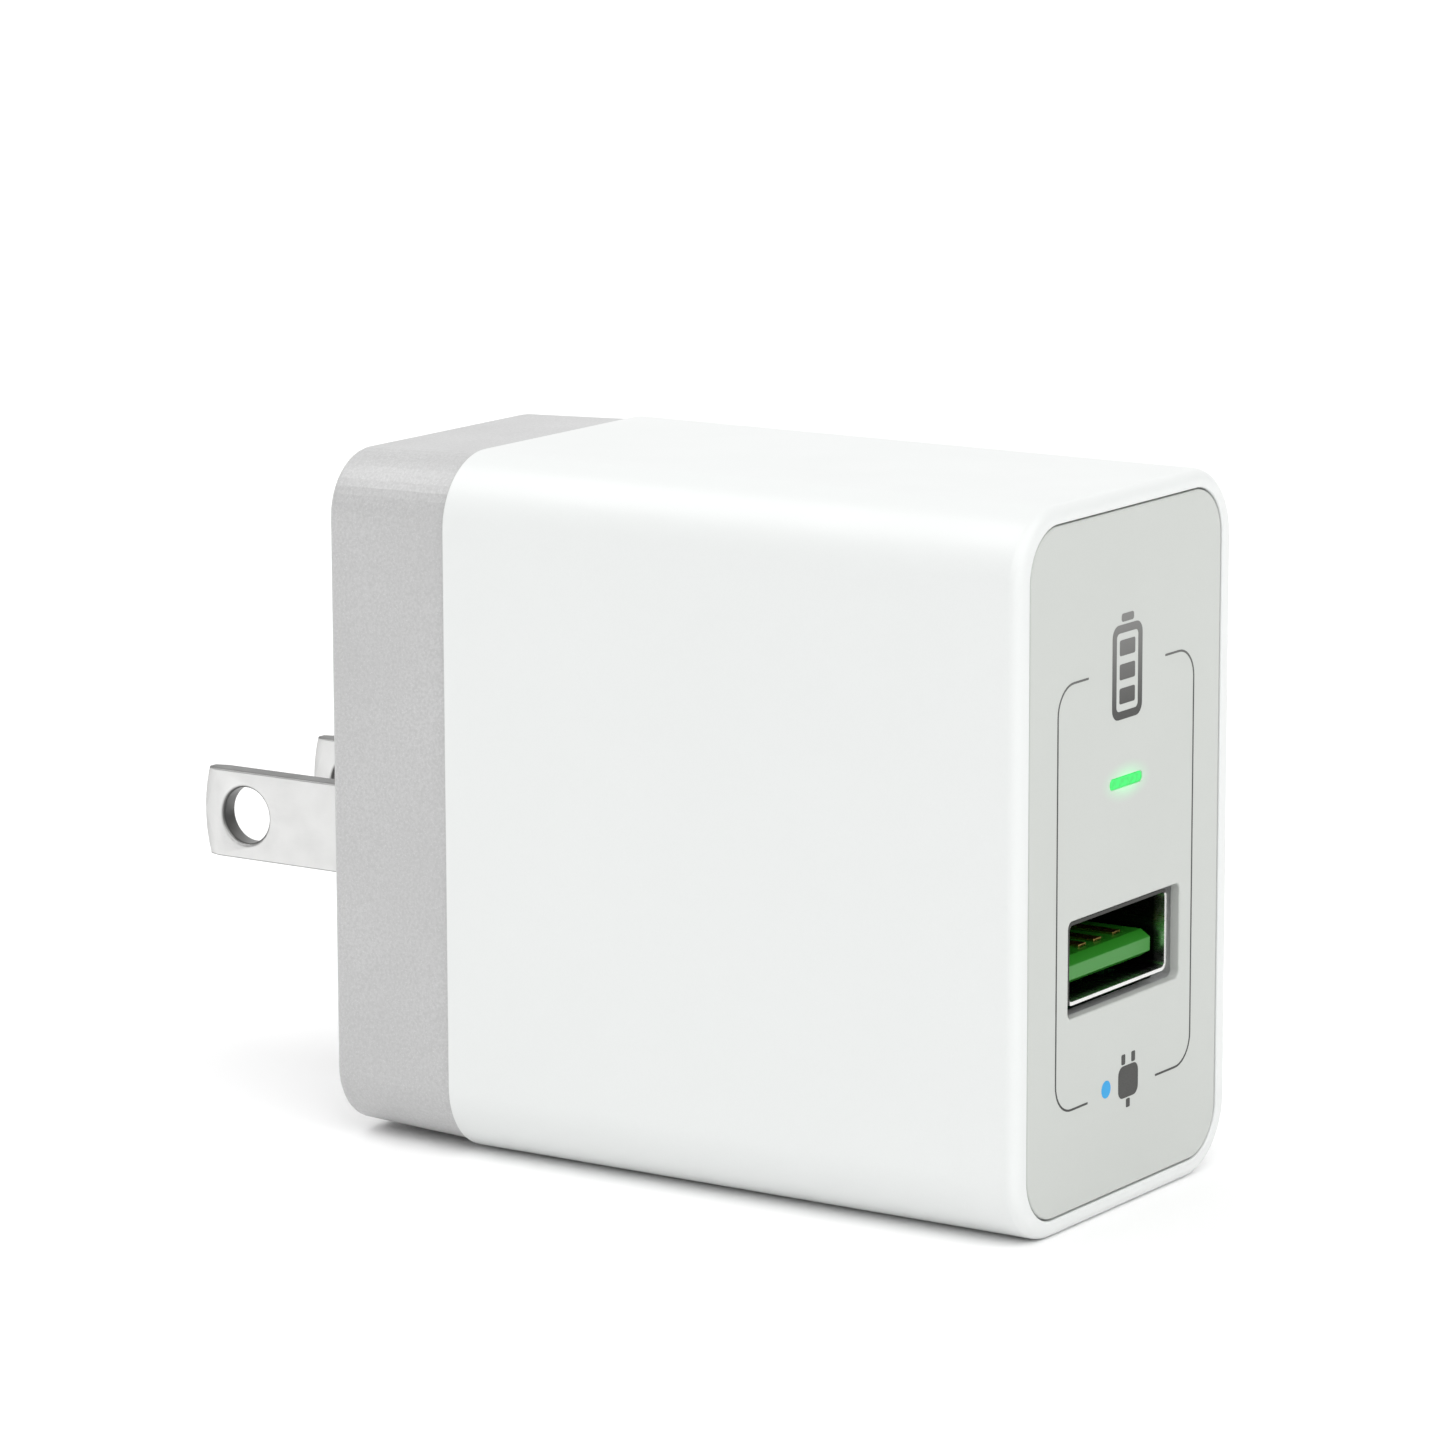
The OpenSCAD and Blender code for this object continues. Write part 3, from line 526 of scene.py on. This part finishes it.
def board_green():
    """Solder mask over a web of copper tracks."""
    surface = Surface("circuit_board", srgb(22, 88, 48), 0.35)
    tracks = surface.node("ShaderNodeTexBrick", Vector=surface.stretched((1, 1, 1)), Scale=260.0)
    tracks.inputs["Mortar Size"].default_value = 0.09
    weave = surface.noise(0.4 * MM, detail=1)
    lines = surface.ramp(tracks.outputs["Fac"], 0, 1)
    mask = surface.mix(surface.ramp(weave, 0.3, 0.7), srgb(18, 82, 42), srgb(24, 96, 52))
    surface.paint(surface.mix(lines, mask, srgb(46, 128, 70)))
    surface.vary_roughness(weave, 0.28, 0.42)
    surface.relief(lines, 18e-6)
    return surface


def ferrite():
    surface = Surface("ferrite", srgb(52, 52, 55), 0.6)
    pores = surface.noise(0.12 * MM, detail=5, roughness=0.7)
    surface.paint(surface.mix(surface.ramp(pores, 0.35, 0.7), srgb(40, 40, 43), srgb(84, 84, 88)))
    surface.vary_roughness(pores, 0.45, 0.75)
    surface.relief(pores, 8e-6)
    return surface


def banded(name, low, high, pitch, depth, roughness, metallic=0.0):
    """Turns of tape or wire side by side along X."""
    surface = Surface(name, low, roughness, metallic)
    waves = surface.node("ShaderNodeTexWave", Vector=surface.place, Scale=1 / pitch / 3.2, Distortion=0.3)
    waves.bands_direction = "X"
    band = waves.outputs["Fac"]
    surface.paint(surface.mix(band, low, high))
    surface.vary_roughness(surface.noise(0.8 * MM), roughness - 0.05, roughness + 0.1)
    surface.relief(band, depth)
    return surface


def film_clear():
    surface = Surface("insulating_film", srgb(235, 233, 225), 0.35)
    haze = surface.noise(2.5 * MM, detail=3)
    surface.paint(surface.mix(surface.ramp(haze, 0.3, 0.7), srgb(226, 224, 216), srgb(240, 239, 232)))
    surface.vary_roughness(haze, 0.25, 0.45)
    surface.set("Transmission Weight", 0.3)
    return surface


MATERIALS = {
    "shell_white": shell_white(),
    "cover_grey": cover_grey(),
    "face_grey": face_grey(),
    "ink_dark": ink_dark(),
    "ink_blue": ink_blue(),
    "clear_guide": clear_guide(),
    "led_resin": led_resin(),
    "port_steel": port_steel(),
    "tongue_green": moulded("tongue_plastic", srgb(38, 128, 28), 0.36, grain=0.1 * MM, speck=0.03),
    "contact_gold": brushed("contact_gold", srgb(226, 190, 110), 0.25, line=0.03 * MM),
    "board_green": board_green(),
    "chip_black": moulded("chip_package", srgb(44, 44, 46), 0.5, grain=0.08 * MM, depth=2e-6, speck=0.15),
    "ferrite": ferrite(),
    "bobbin_plastic": moulded("bobbin_plastic", srgb(222, 214, 190), 0.45, speck=0.03),
    "winding_tape": banded("winding_tape", srgb(206, 160, 40), srgb(232, 190, 66), 2.2 * MM, 12e-6, 0.35),
    "copper_wire": banded("copper_wire", srgb(120, 54, 22), srgb(206, 120, 64), 0.4 * MM, 90e-6, 0.3, 0.8),
    "tinned_pin": brushed("tinned_pin", srgb(206, 207, 208), 0.32, run=(30, 1, 1), blotch=0.15),
    "capacitor_sleeve": glossy_coat("capacitor_sleeve", srgb(28, 34, 66)),
    "capacitor_can": brushed("capacitor_can", srgb(200, 202, 205), 0.35, run=(30, 1, 1), line=0.08 * MM),
    "fuse_brown": glossy_coat("fuse_body", srgb(104, 62, 40), 0.35),
    "disc_green": glossy_coat("thermistor_coat", srgb(40, 74, 46), 0.3, depth=14e-6),
    "disc_blue": glossy_coat("disc_capacitor_coat", srgb(54, 104, 168), 0.25, depth=14e-6),
    "chip_tan": moulded("chip_ceramic", srgb(188, 152, 112), 0.55, grain=0.1 * MM, speck=0.08),
    "spreader_aluminium": brushed("spreader_aluminium", srgb(208, 210, 212), 0.34, run=(1, 1, 40)),
    "pad_grey": moulded("thermal_pad_rubber", srgb(150, 160, 172), 0.7, grain=0.25 * MM, depth=5e-6,
                        speck=0.08),
    "film_clear": film_clear(),
    "blade_nickel": blade_nickel(),
    "carrier_plastic": moulded("carrier_plastic", srgb(186, 186, 188), 0.5, depth=1e-6, speck=0.04),
    "bracket_plastic": moulded("bracket_plastic", srgb(226, 226, 222), 0.5, depth=1e-6, speck=0.02),
    "screw_steel": brushed("screw_steel", srgb(150, 150, 152), 0.3, run=(1, 8, 1), blotch=0.15),
    "spring_bronze": brushed("spring_bronze", srgb(206, 140, 92), 0.32, blotch=0.15),
    "spring_steel": brushed("spring_steel", srgb(176, 178, 180), 0.25, run=(1, 1, 30)),
    "wire_red": glossy_coat("wire_insulation_red", srgb(176, 34, 30), 0.35, depth=3e-6),
    "wire_blue": glossy_coat("wire_insulation_blue", srgb(28, 60, 150), 0.35, depth=3e-6),
}


def material(slot):
    return MATERIALS[slot].material


# ---- Casing ----

def wall_holes(bm, y0, y1):
    """Loops of the front wall's holes on both faces, with the hole walls between them."""
    outlines = [lambda y: ring_points(WALL_WINDOW, y), lambda y: ring_points(WALL_SLOT, y)]
    for side in (-1, 1):
        for z in (PEG_IN_Z, BODY_H - PEG_IN_Z):
            outlines.append(lambda y, x=side * PEG_X, z=z: circle_points(x, z, PEG_R + 0.05 * MM, y))
    pairs = [loft(bm, [shape(y0), shape(y1)]) for shape in outlines]
    return [pair[0] for pair in pairs], [pair[1] for pair in pairs]


def board_rails(bm):
    depth = 0.3 * MM
    reach = WALL + 2.4 * MM
    for low_z, high_z in ((WALL - depth, reach), (BODY_H - reach, BODY_H - WALL + depth)):
        block(bm, (board_low.x - 1.1 * MM, CAVITY_Y - depth, low_z),
              (board_low.x - 0.1 * MM, SEAM_Y - LIP_L - 0.5 * MM, high_z))


def build_front_shell():
    """White casing: one skin from the cavity, over the seam and the front rim, into the plate's recess."""
    bm = bmesh.new()
    rebate = grown(CASING, -LIP_T)
    cavity = grown(CASING, -WALL)
    rings = [ring_points(cavity, CAVITY_Y), ring_points(cavity, SEAM_Y - LIP_L),
             ring_points(rebate, SEAM_Y - LIP_L), ring_points(rebate, SEAM_Y)]
    rings += reversed(fillet(CASING, FRONT_Y, SEAM_Y, SEAM_EDGE_R))
    rings += fillet(CASING, SEAM_Y, FRONT_Y, RIM_EDGE_R)
    rings += hole_fillet(RECESS, FRONT_Y, 1, RIM_INNER_R)
    rings.append(ring_points(RECESS, PLATE_BACK_Y))
    loops = loft(bm, rings)
    outside, inside = wall_holes(bm, PLATE_BACK_Y, CAVITY_Y)
    fill(bm, loops[-1], *outside)
    fill(bm, loops[0], *inside)
    board_rails(bm)
    shell = piece("white_front_shell", bm, material("shell_white"))
    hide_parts("front_shell")


def build_face_plate():
    """Satin plate with rounded edges, the port's window, the light slot and its four pegs."""
    bm = bmesh.new()
    outer = loft(bm, [ring_points(PLATE, PLATE_BACK_Y), *fillet(PLATE, PLATE_BACK_Y, PLATE_Y, PLATE_EDGE_R)])
    window = loft(bm, [*hole_fillet(WINDOW, PLATE_Y, 1, WINDOW_EDGE_R), ring_points(WINDOW, PLATE_BACK_Y)])
    slot = loft(bm, [*hole_fillet(SLOT, PLATE_Y, 1, SLOT_EDGE_R), ring_points(SLOT, PLATE_BACK_Y)])
    fill(bm, outer[-1], window[0], slot[0])
    fill(bm, outer[0], window[-1], slot[-1])
    for side in (-1, 1):
        for z in (PEG_IN_Z, BODY_H - PEG_IN_Z):
            rounded_rod(bm, side * PEG_X, z, PEG_R, CAVITY_Y - 0.2 * MM, PLATE_BACK_Y - 0.05 * MM, -0.2 * MM)
    plate = piece("satin_face_plate", bm, material("face_grey"))
    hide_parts("face_plate")


# ---- Printing on the face plate ----

def stroke(points, width):
    """The outline of a line of this width along (x, z) points."""
    left, right = [], []
    for i, (x, z) in enumerate(points):
        before = points[max(i - 1, 0)]
        after = points[min(i + 1, len(points) - 1)]
        along = Vector((after[0] - before[0], after[1] - before[1])).normalized()
        left.append((x - along.y * width / 2, z + along.x * width / 2))
        right.append((x + along.y * width / 2, z - along.x * width / 2))
    return left + right[::-1]


def corner(centre_x, centre_z, r, start, steps=10):
    turns = [math.radians(start + 90 * i / steps) for i in range(steps + 1)]
    return [(centre_x + r * math.cos(t), centre_z + r * math.sin(t)) for t in turns]


def printed(bm, points):
    prism(bm, points, PLATE_Y - INK_T, PLATE_Y + INK_T)


def flat_ring(x, z, w, h, r):
    return [(p.x, p.z) for p in ring_points(outline(w, h, r, x, z), 0, steps=6)]


def build_printed_frame():
    """Thin line round the port and the light, open at the top and at the bottom for the two marks."""
    bm = bmesh.new()
    for side, low_gap in ((-1, 4.7 * MM), (1, 4.2 * MM)):
        path = [(5 * MM, FRAME_TOP_Z)]
        path += corner(FRAME_HALF_W - FRAME_R, FRAME_TOP_Z - FRAME_R, FRAME_R, 0)[::-1]
        path += corner(FRAME_HALF_W - FRAME_R, FRAME_LOW_Z + FRAME_R, FRAME_R, -90)[::-1]
        path += [(low_gap, FRAME_LOW_Z)]
        printed(bm, stroke([(side * x, z) for x, z in path], INK_LINE))
    piece("printed_frame_line", bm, material("ink_dark"))


def build_charge_mark():
    """Battery with three level bars."""
    bm = bmesh.new()
    low, w, h, line = 33.2 * MM, 3.9 * MM, 6.3 * MM, 0.55 * MM
    outer = loop_pair(bm, flat_ring(0, low + h / 2, w, h, 0.8 * MM))
    inner = loop_pair(bm, flat_ring(0, low + h / 2, w - 2 * line, h - 2 * line, 0.35 * MM))
    for level in (0, 1):
        fill(bm, outer[level], inner[level])
    printed(bm, flat_ring(0, low + h + 0.45 * MM, 1.6 * MM, 0.55 * MM, 0.2 * MM))
    for i in range(3):
        bar_z = low + 1.55 * MM + i * 1.6 * MM
        printed(bm, flat_ring(0, bar_z, w - 4 * line + 0.3 * MM, 1.05 * MM, 0.15 * MM))
    piece("printed_battery_mark", bm, material("ink_dark"))


def loop_pair(bm, points):
    """Side walls of a thin printed shape; gives back its front and back loops."""
    return loft(bm, [[Vector((x, y, z)) for x, z in points] for y in (PLATE_Y - INK_T, PLATE_Y + INK_T)])


def build_plug_mark():
    """Small plug, with a blue dot beside it."""
    bm = bmesh.new()
    z = 8.6 * MM
    printed(bm, flat_ring(0.6 * MM, z, 2.6 * MM, 2.2 * MM, 0.6 * MM))
    for side in (-1, 1):
        printed(bm, flat_ring(0.6 * MM + side * 0.65 * MM, z + 1.55 * MM, 0.5 * MM, 0.7 * MM, 0.12 * MM))
    printed(bm, flat_ring(0.6 * MM, z - 1.5 * MM, 0.5 * MM, 0.6 * MM, 0.1 * MM))
    piece("printed_plug_mark", bm, material("ink_dark"))
    bm = bmesh.new()
    printed(bm, [(p.x, p.z) for p in circle_points(-2.3 * MM, z, 0.6 * MM, 0, 24)])
    piece("printed_blue_dot", bm, material("ink_blue"))


# ---- Blades ----

def arc(y, z, r, start, end, steps):
    """(y, z) points along a circle, angles in degrees from +Y towards +Z."""
    turns = [math.radians(start + (end - start) * i / steps) for i in range(steps + 1)]
    return [(y + r * math.cos(t), z + r * math.sin(t)) for t in turns]


def blade_outline():
    """(y, z) points round a blade and its tail, from the top end of the tip's bevel line, and the
    number of the point at the line's other end."""
    half = BLADE_W / 2
    arc_r = (half ** 2 + TIP_ARC ** 2) / (2 * TIP_ARC)
    sweep = math.degrees(math.asin(half / arc_r))
    bevel_y = TIP_Y - TIP_BEVEL_L
    tip = [(bevel_y, BLADE_Z + half)]
    tip += arc(TIP_Y - arc_r, BLADE_Z, arc_r, sweep, -sweep, 24)
    tip.append((bevel_y, BLADE_Z - half))
    root = math.degrees(math.asin(TAIL_W / 2 / half))
    end = math.degrees(math.asin(TAIL_W / 2 / TAIL_R))
    points = tip + arc(HINGE_Y, BLADE_Z, half, 270, 180 + root, 16)
    points += arc(HINGE_Y, BLADE_Z, TAIL_R, 180 + end, 180 - end, 4)
    points += arc(HINGE_Y, BLADE_Z, half, 180 - root, 90, 16)
    return points, len(tip) - 1


def drawn_in(points, by):
    """The same clockwise outline, each point moved inwards."""
    moved = []
    for i, point in enumerate(points):
        before = Vector(points[i - 1])
        after = Vector(points[(i + 1) % len(points)])
        along = (after - before).normalized()
        moved.append(Vector(point) + Vector((along.y, -along.x)) * by)
    return moved


def blade_half_t(y):
    """Half the blade's thickness, less towards the tip."""
    into = max(0.0, y - (TIP_Y - TIP_BEVEL_L)) / TIP_BEVEL_L
    return BLADE_T / 2 - TIP_BEVEL * into


def edge_steps(radius, steps=4):
    """(inset, depth) pairs round an edge, from the flat face to the edge's wall."""
    turns = [math.pi / 2 * i / steps for i in range(steps + 1)]
    return [(radius * (1 - math.sin(t)), radius * (1 - math.cos(t))) for t in turns]


def build_blade(name, replaced, x):
    """Flat blade with a bevelled, slightly curved tip, eased edges and a countersunk hole."""
    bm = bmesh.new()
    points, turn_at = blade_outline()
    rings, bores = [], []
    for side, steps in ((1, edge_steps(BLADE_EDGE_R)), (-1, edge_steps(BLADE_EDGE_R)[::-1])):
        for inset, depth in steps:
            drawn = drawn_in(points, inset)
            rings.append([Vector((x + side * (blade_half_t(y) - depth), y, z)) for y, z in drawn])
    for side, steps in ((1, edge_steps(HOLE_EDGE_R)), (-1, edge_steps(HOLE_EDGE_R)[::-1])):
        for inset, depth in steps:
            hole = arc(TIP_Y - HOLE_IN, BLADE_Z, HOLE_R + inset, 0, 360, 64)[:-1]
            bores.append([Vector((x + side * (BLADE_T / 2 - depth), y, z)) for y, z in hole])
    skin = loft(bm, rings)
    bore = loft(bm, bores)
    for face, hole in ((skin[0], bore[0]), (skin[-1], bore[-1])):
        fill(bm, face[:turn_at + 1])
        fill(bm, face[turn_at:] + face[:1], hole)
    blade = piece(name, bm, material("blade_nickel"), body="plug")
    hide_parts(replaced)


# ---- CAD nodes that keep their shape ----

# Material slot and edge rounding of each node, in millimetres
KEPT = {
    "rear_cover": ("cover_grey", 0.15),
    "light_guide": ("clear_guide", 0.03),
    "indicator_led": ("led_resin", 0.1),
    "usb_shell": ("port_steel", 0.06),
    "usb_tongue": ("tongue_green", 0.08),
    "usb_contacts": ("contact_gold", 0.05),
    "usb_board": ("board_green", 0.05),
    "board_header": ("tinned_pin", 0.06),
    "charge_controller": ("chip_black", 0.06),
    "main_board": ("board_green", 0.05),
    "transformer_core": ("ferrite", 0.2),
    "transformer_bobbin": ("bobbin_plastic", 0.12),
    "transformer_winding": ("winding_tape", 0.2),
    "transformer_pins": ("tinned_pin", 0.06),
    "bulk_capacitors": ("capacitor_sleeve", 0.12),
    "output_capacitors": ("capacitor_can", 0.12),
    "choke_core": ("ferrite", 0.1),
    "choke_winding": ("copper_wire", 0.2),
    "fuse": ("fuse_brown", 0.25),
    "inrush_thermistor": ("disc_green", 0.4),
    "bridge_rectifier": ("chip_black", 0.15),
    "switching_transistor": ("chip_black", 0.15),
    "primary_controller": ("chip_black", 0.05),
    "optocoupler": ("chip_black", 0.05),
    "y_capacitor": ("disc_blue", 0.4),
    "sync_rectifier": ("chip_black", 0.05),
    "chip_resistors": ("chip_black", 0.05),
    "chip_capacitors": ("chip_tan", 0.08),
    "heat_spreader": ("spreader_aluminium", 0.08),
    "thermal_pad": ("pad_grey", 0.1),
    "insulating_sheet": ("film_clear", 0.03),
    "blade_carrier": ("carrier_plastic", 0.12),
    "carrier_bracket": ("bracket_plastic", 0.12),
    "bracket_screws": ("screw_steel", 0.08),
    "live_contact": ("spring_bronze", 0.05),
    "neutral_contact": ("spring_bronze", 0.05),
    "detent_spring": ("spring_steel", 0.05),
    "live_lead": ("wire_red", 0.03),
    "neutral_lead": ("wire_blue", 0.03),
}


def dress(name, slot, edge):
    """Gives a CAD node its material and softly rounded edges, and leaves its mesh as it is."""
    obj = nodes[name]
    for material_slot in obj.material_slots:
        material_slot.material = material(slot)
    weld = obj.modifiers.new("join_faces", "WELD")
    weld.merge_threshold = 1e-6
    flat = obj.modifiers.new("merge_flat_faces", "DECIMATE")
    flat.decimate_type = "DISSOLVE"
    flat.angle_limit = math.radians(0.6)
    bevel = obj.modifiers.new("round_edges", "BEVEL")
    bevel.width = edge * MM
    bevel.segments = 3
    bevel.limit_method = "ANGLE"
    bevel.angle_limit = math.radians(35)
    bevel.use_clamp_overlap = True
    weighted_normals(obj)


# ---- Studio ----

# Brightness of the white room as the object sees it, and of the lit backdrop behind the object
ROOM_LIGHT = 0.3
BACKDROP_LIGHT = 1.0

# The photograph's camera: angles in degrees, the point it turns about, and its lens
VIEW_AZIMUTH = -56.7
VIEW_ELEVATION = 11.0
VIEW_ROLL = -0.106
VIEW_DISTANCE = 429.6 * MM
VIEW_TARGET = Vector((0, 1.15 * MM, 30.1 * MM))
SENSOR_WIDTH = 36
LENS_LENGTH = 157.3
LENS_SHIFT = (-0.0264, -0.0024)


def build_floor():
    bm = bmesh.new()
    bmesh.ops.create_grid(bm, x_segments=8, y_segments=8, size=4)
    mesh = bpy.data.meshes.new("studio_floor")
    bm.to_mesh(mesh)
    bm.free()
    surface = Surface("studio_paper", srgb(252, 252, 252), 0.8)
    mesh.materials.append(surface.material)
    floor = bpy.data.objects.new("studio_floor", mesh)
    bpy.context.scene.collection.objects.link(floor)


def broad_sun(name, azimuth, elevation, spread, strength):
    """Light from a wide patch of the studio's ceiling or wall, the same everywhere on the floor."""
    lamp = bpy.data.lights.new(name, "SUN")
    lamp.angle = math.radians(spread)
    lamp.energy = strength
    obj = bpy.data.objects.new(name, lamp)
    obj.rotation_euler = (-direction(azimuth, elevation)).to_track_quat("-Z", "Y").to_euler()
    bpy.context.scene.collection.objects.link(obj)


def direction(azimuth, elevation):
    """From the object towards a viewer; azimuth 0 stands at -Y."""
    a, e = math.radians(azimuth), math.radians(elevation)
    return Vector((math.sin(a) * math.cos(e), -math.cos(a) * math.cos(e), math.sin(e)))


def build_world():
    """White room with a brighter backdrop; the camera sees plain white everywhere."""
    world = bpy.data.worlds.new("studio")
    world.use_nodes = True
    tree = world.node_tree
    background = tree.nodes["Background"]
    background.inputs["Color"].default_value = (1, 1, 1, 1)
    facing = tree.nodes.new("ShaderNodeVectorMath")
    facing.operation = "DOT_PRODUCT"
    facing.inputs[1].default_value = direction(VIEW_AZIMUTH + 180, VIEW_ELEVATION)
    room = tree.nodes.new("ShaderNodeMapRange")
    room.interpolation_type = "SMOOTHSTEP"
    room.inputs["From Min"].default_value = math.cos(math.radians(75))
    room.inputs["From Max"].default_value = math.cos(math.radians(25))
    room.inputs["To Min"].default_value = ROOM_LIGHT
    room.inputs["To Max"].default_value = BACKDROP_LIGHT
    seen = tree.nodes.new("ShaderNodeMix")
    seen.inputs[3].default_value = 1.0
    tree.links.new(tree.nodes.new("ShaderNodeTexCoord").outputs["Generated"], facing.inputs[0])
    tree.links.new(facing.outputs["Value"], room.inputs["Value"])
    tree.links.new(room.outputs["Result"], seen.inputs[2])
    tree.links.new(tree.nodes.new("ShaderNodeLightPath").outputs["Is Camera Ray"], seen.inputs[0])
    tree.links.new(seen.outputs[0], background.inputs["Strength"])
    bpy.context.scene.world = world
    bpy.context.scene.view_settings.view_transform = "Standard"


def build_camera():
    """The photograph's view."""
    back = direction(VIEW_AZIMUTH, VIEW_ELEVATION)
    lens = bpy.data.cameras.new("camera")
    lens.sensor_width = SENSOR_WIDTH
    lens.lens = LENS_LENGTH
    lens.shift_x, lens.shift_y = LENS_SHIFT
    lens.clip_start = 0.01
    camera = bpy.data.objects.new("camera", lens)
    camera.location = VIEW_TARGET + back * VIEW_DISTANCE
    turned = (-back).to_track_quat("-Z", "Y") @ Euler((0, 0, math.radians(VIEW_ROLL))).to_quaternion()
    camera.rotation_mode = "QUATERNION"
    camera.rotation_quaternion = turned
    bpy.context.scene.collection.objects.link(camera)
    bpy.context.scene.camera = camera


build_camera()
build_world()
build_floor()
broad_sun("left_wall", -85, 40, 60, 0.9)
broad_sun("front_wall", -10, 44, 70, 1.85)
broad_sun("back_wall", -160, 52, 40, 0.9)

build_front_shell()
build_face_plate()
build_printed_frame()
build_charge_mark()
build_plug_mark()
build_blade("plated_live_blade", "live_blade", BLADE_X)
build_blade("plated_neutral_blade", "neutral_blade", -BLADE_X)
for node_name, (slot_name, edge_mm) in KEPT.items():
    dress(node_name, slot_name, edge_mm)
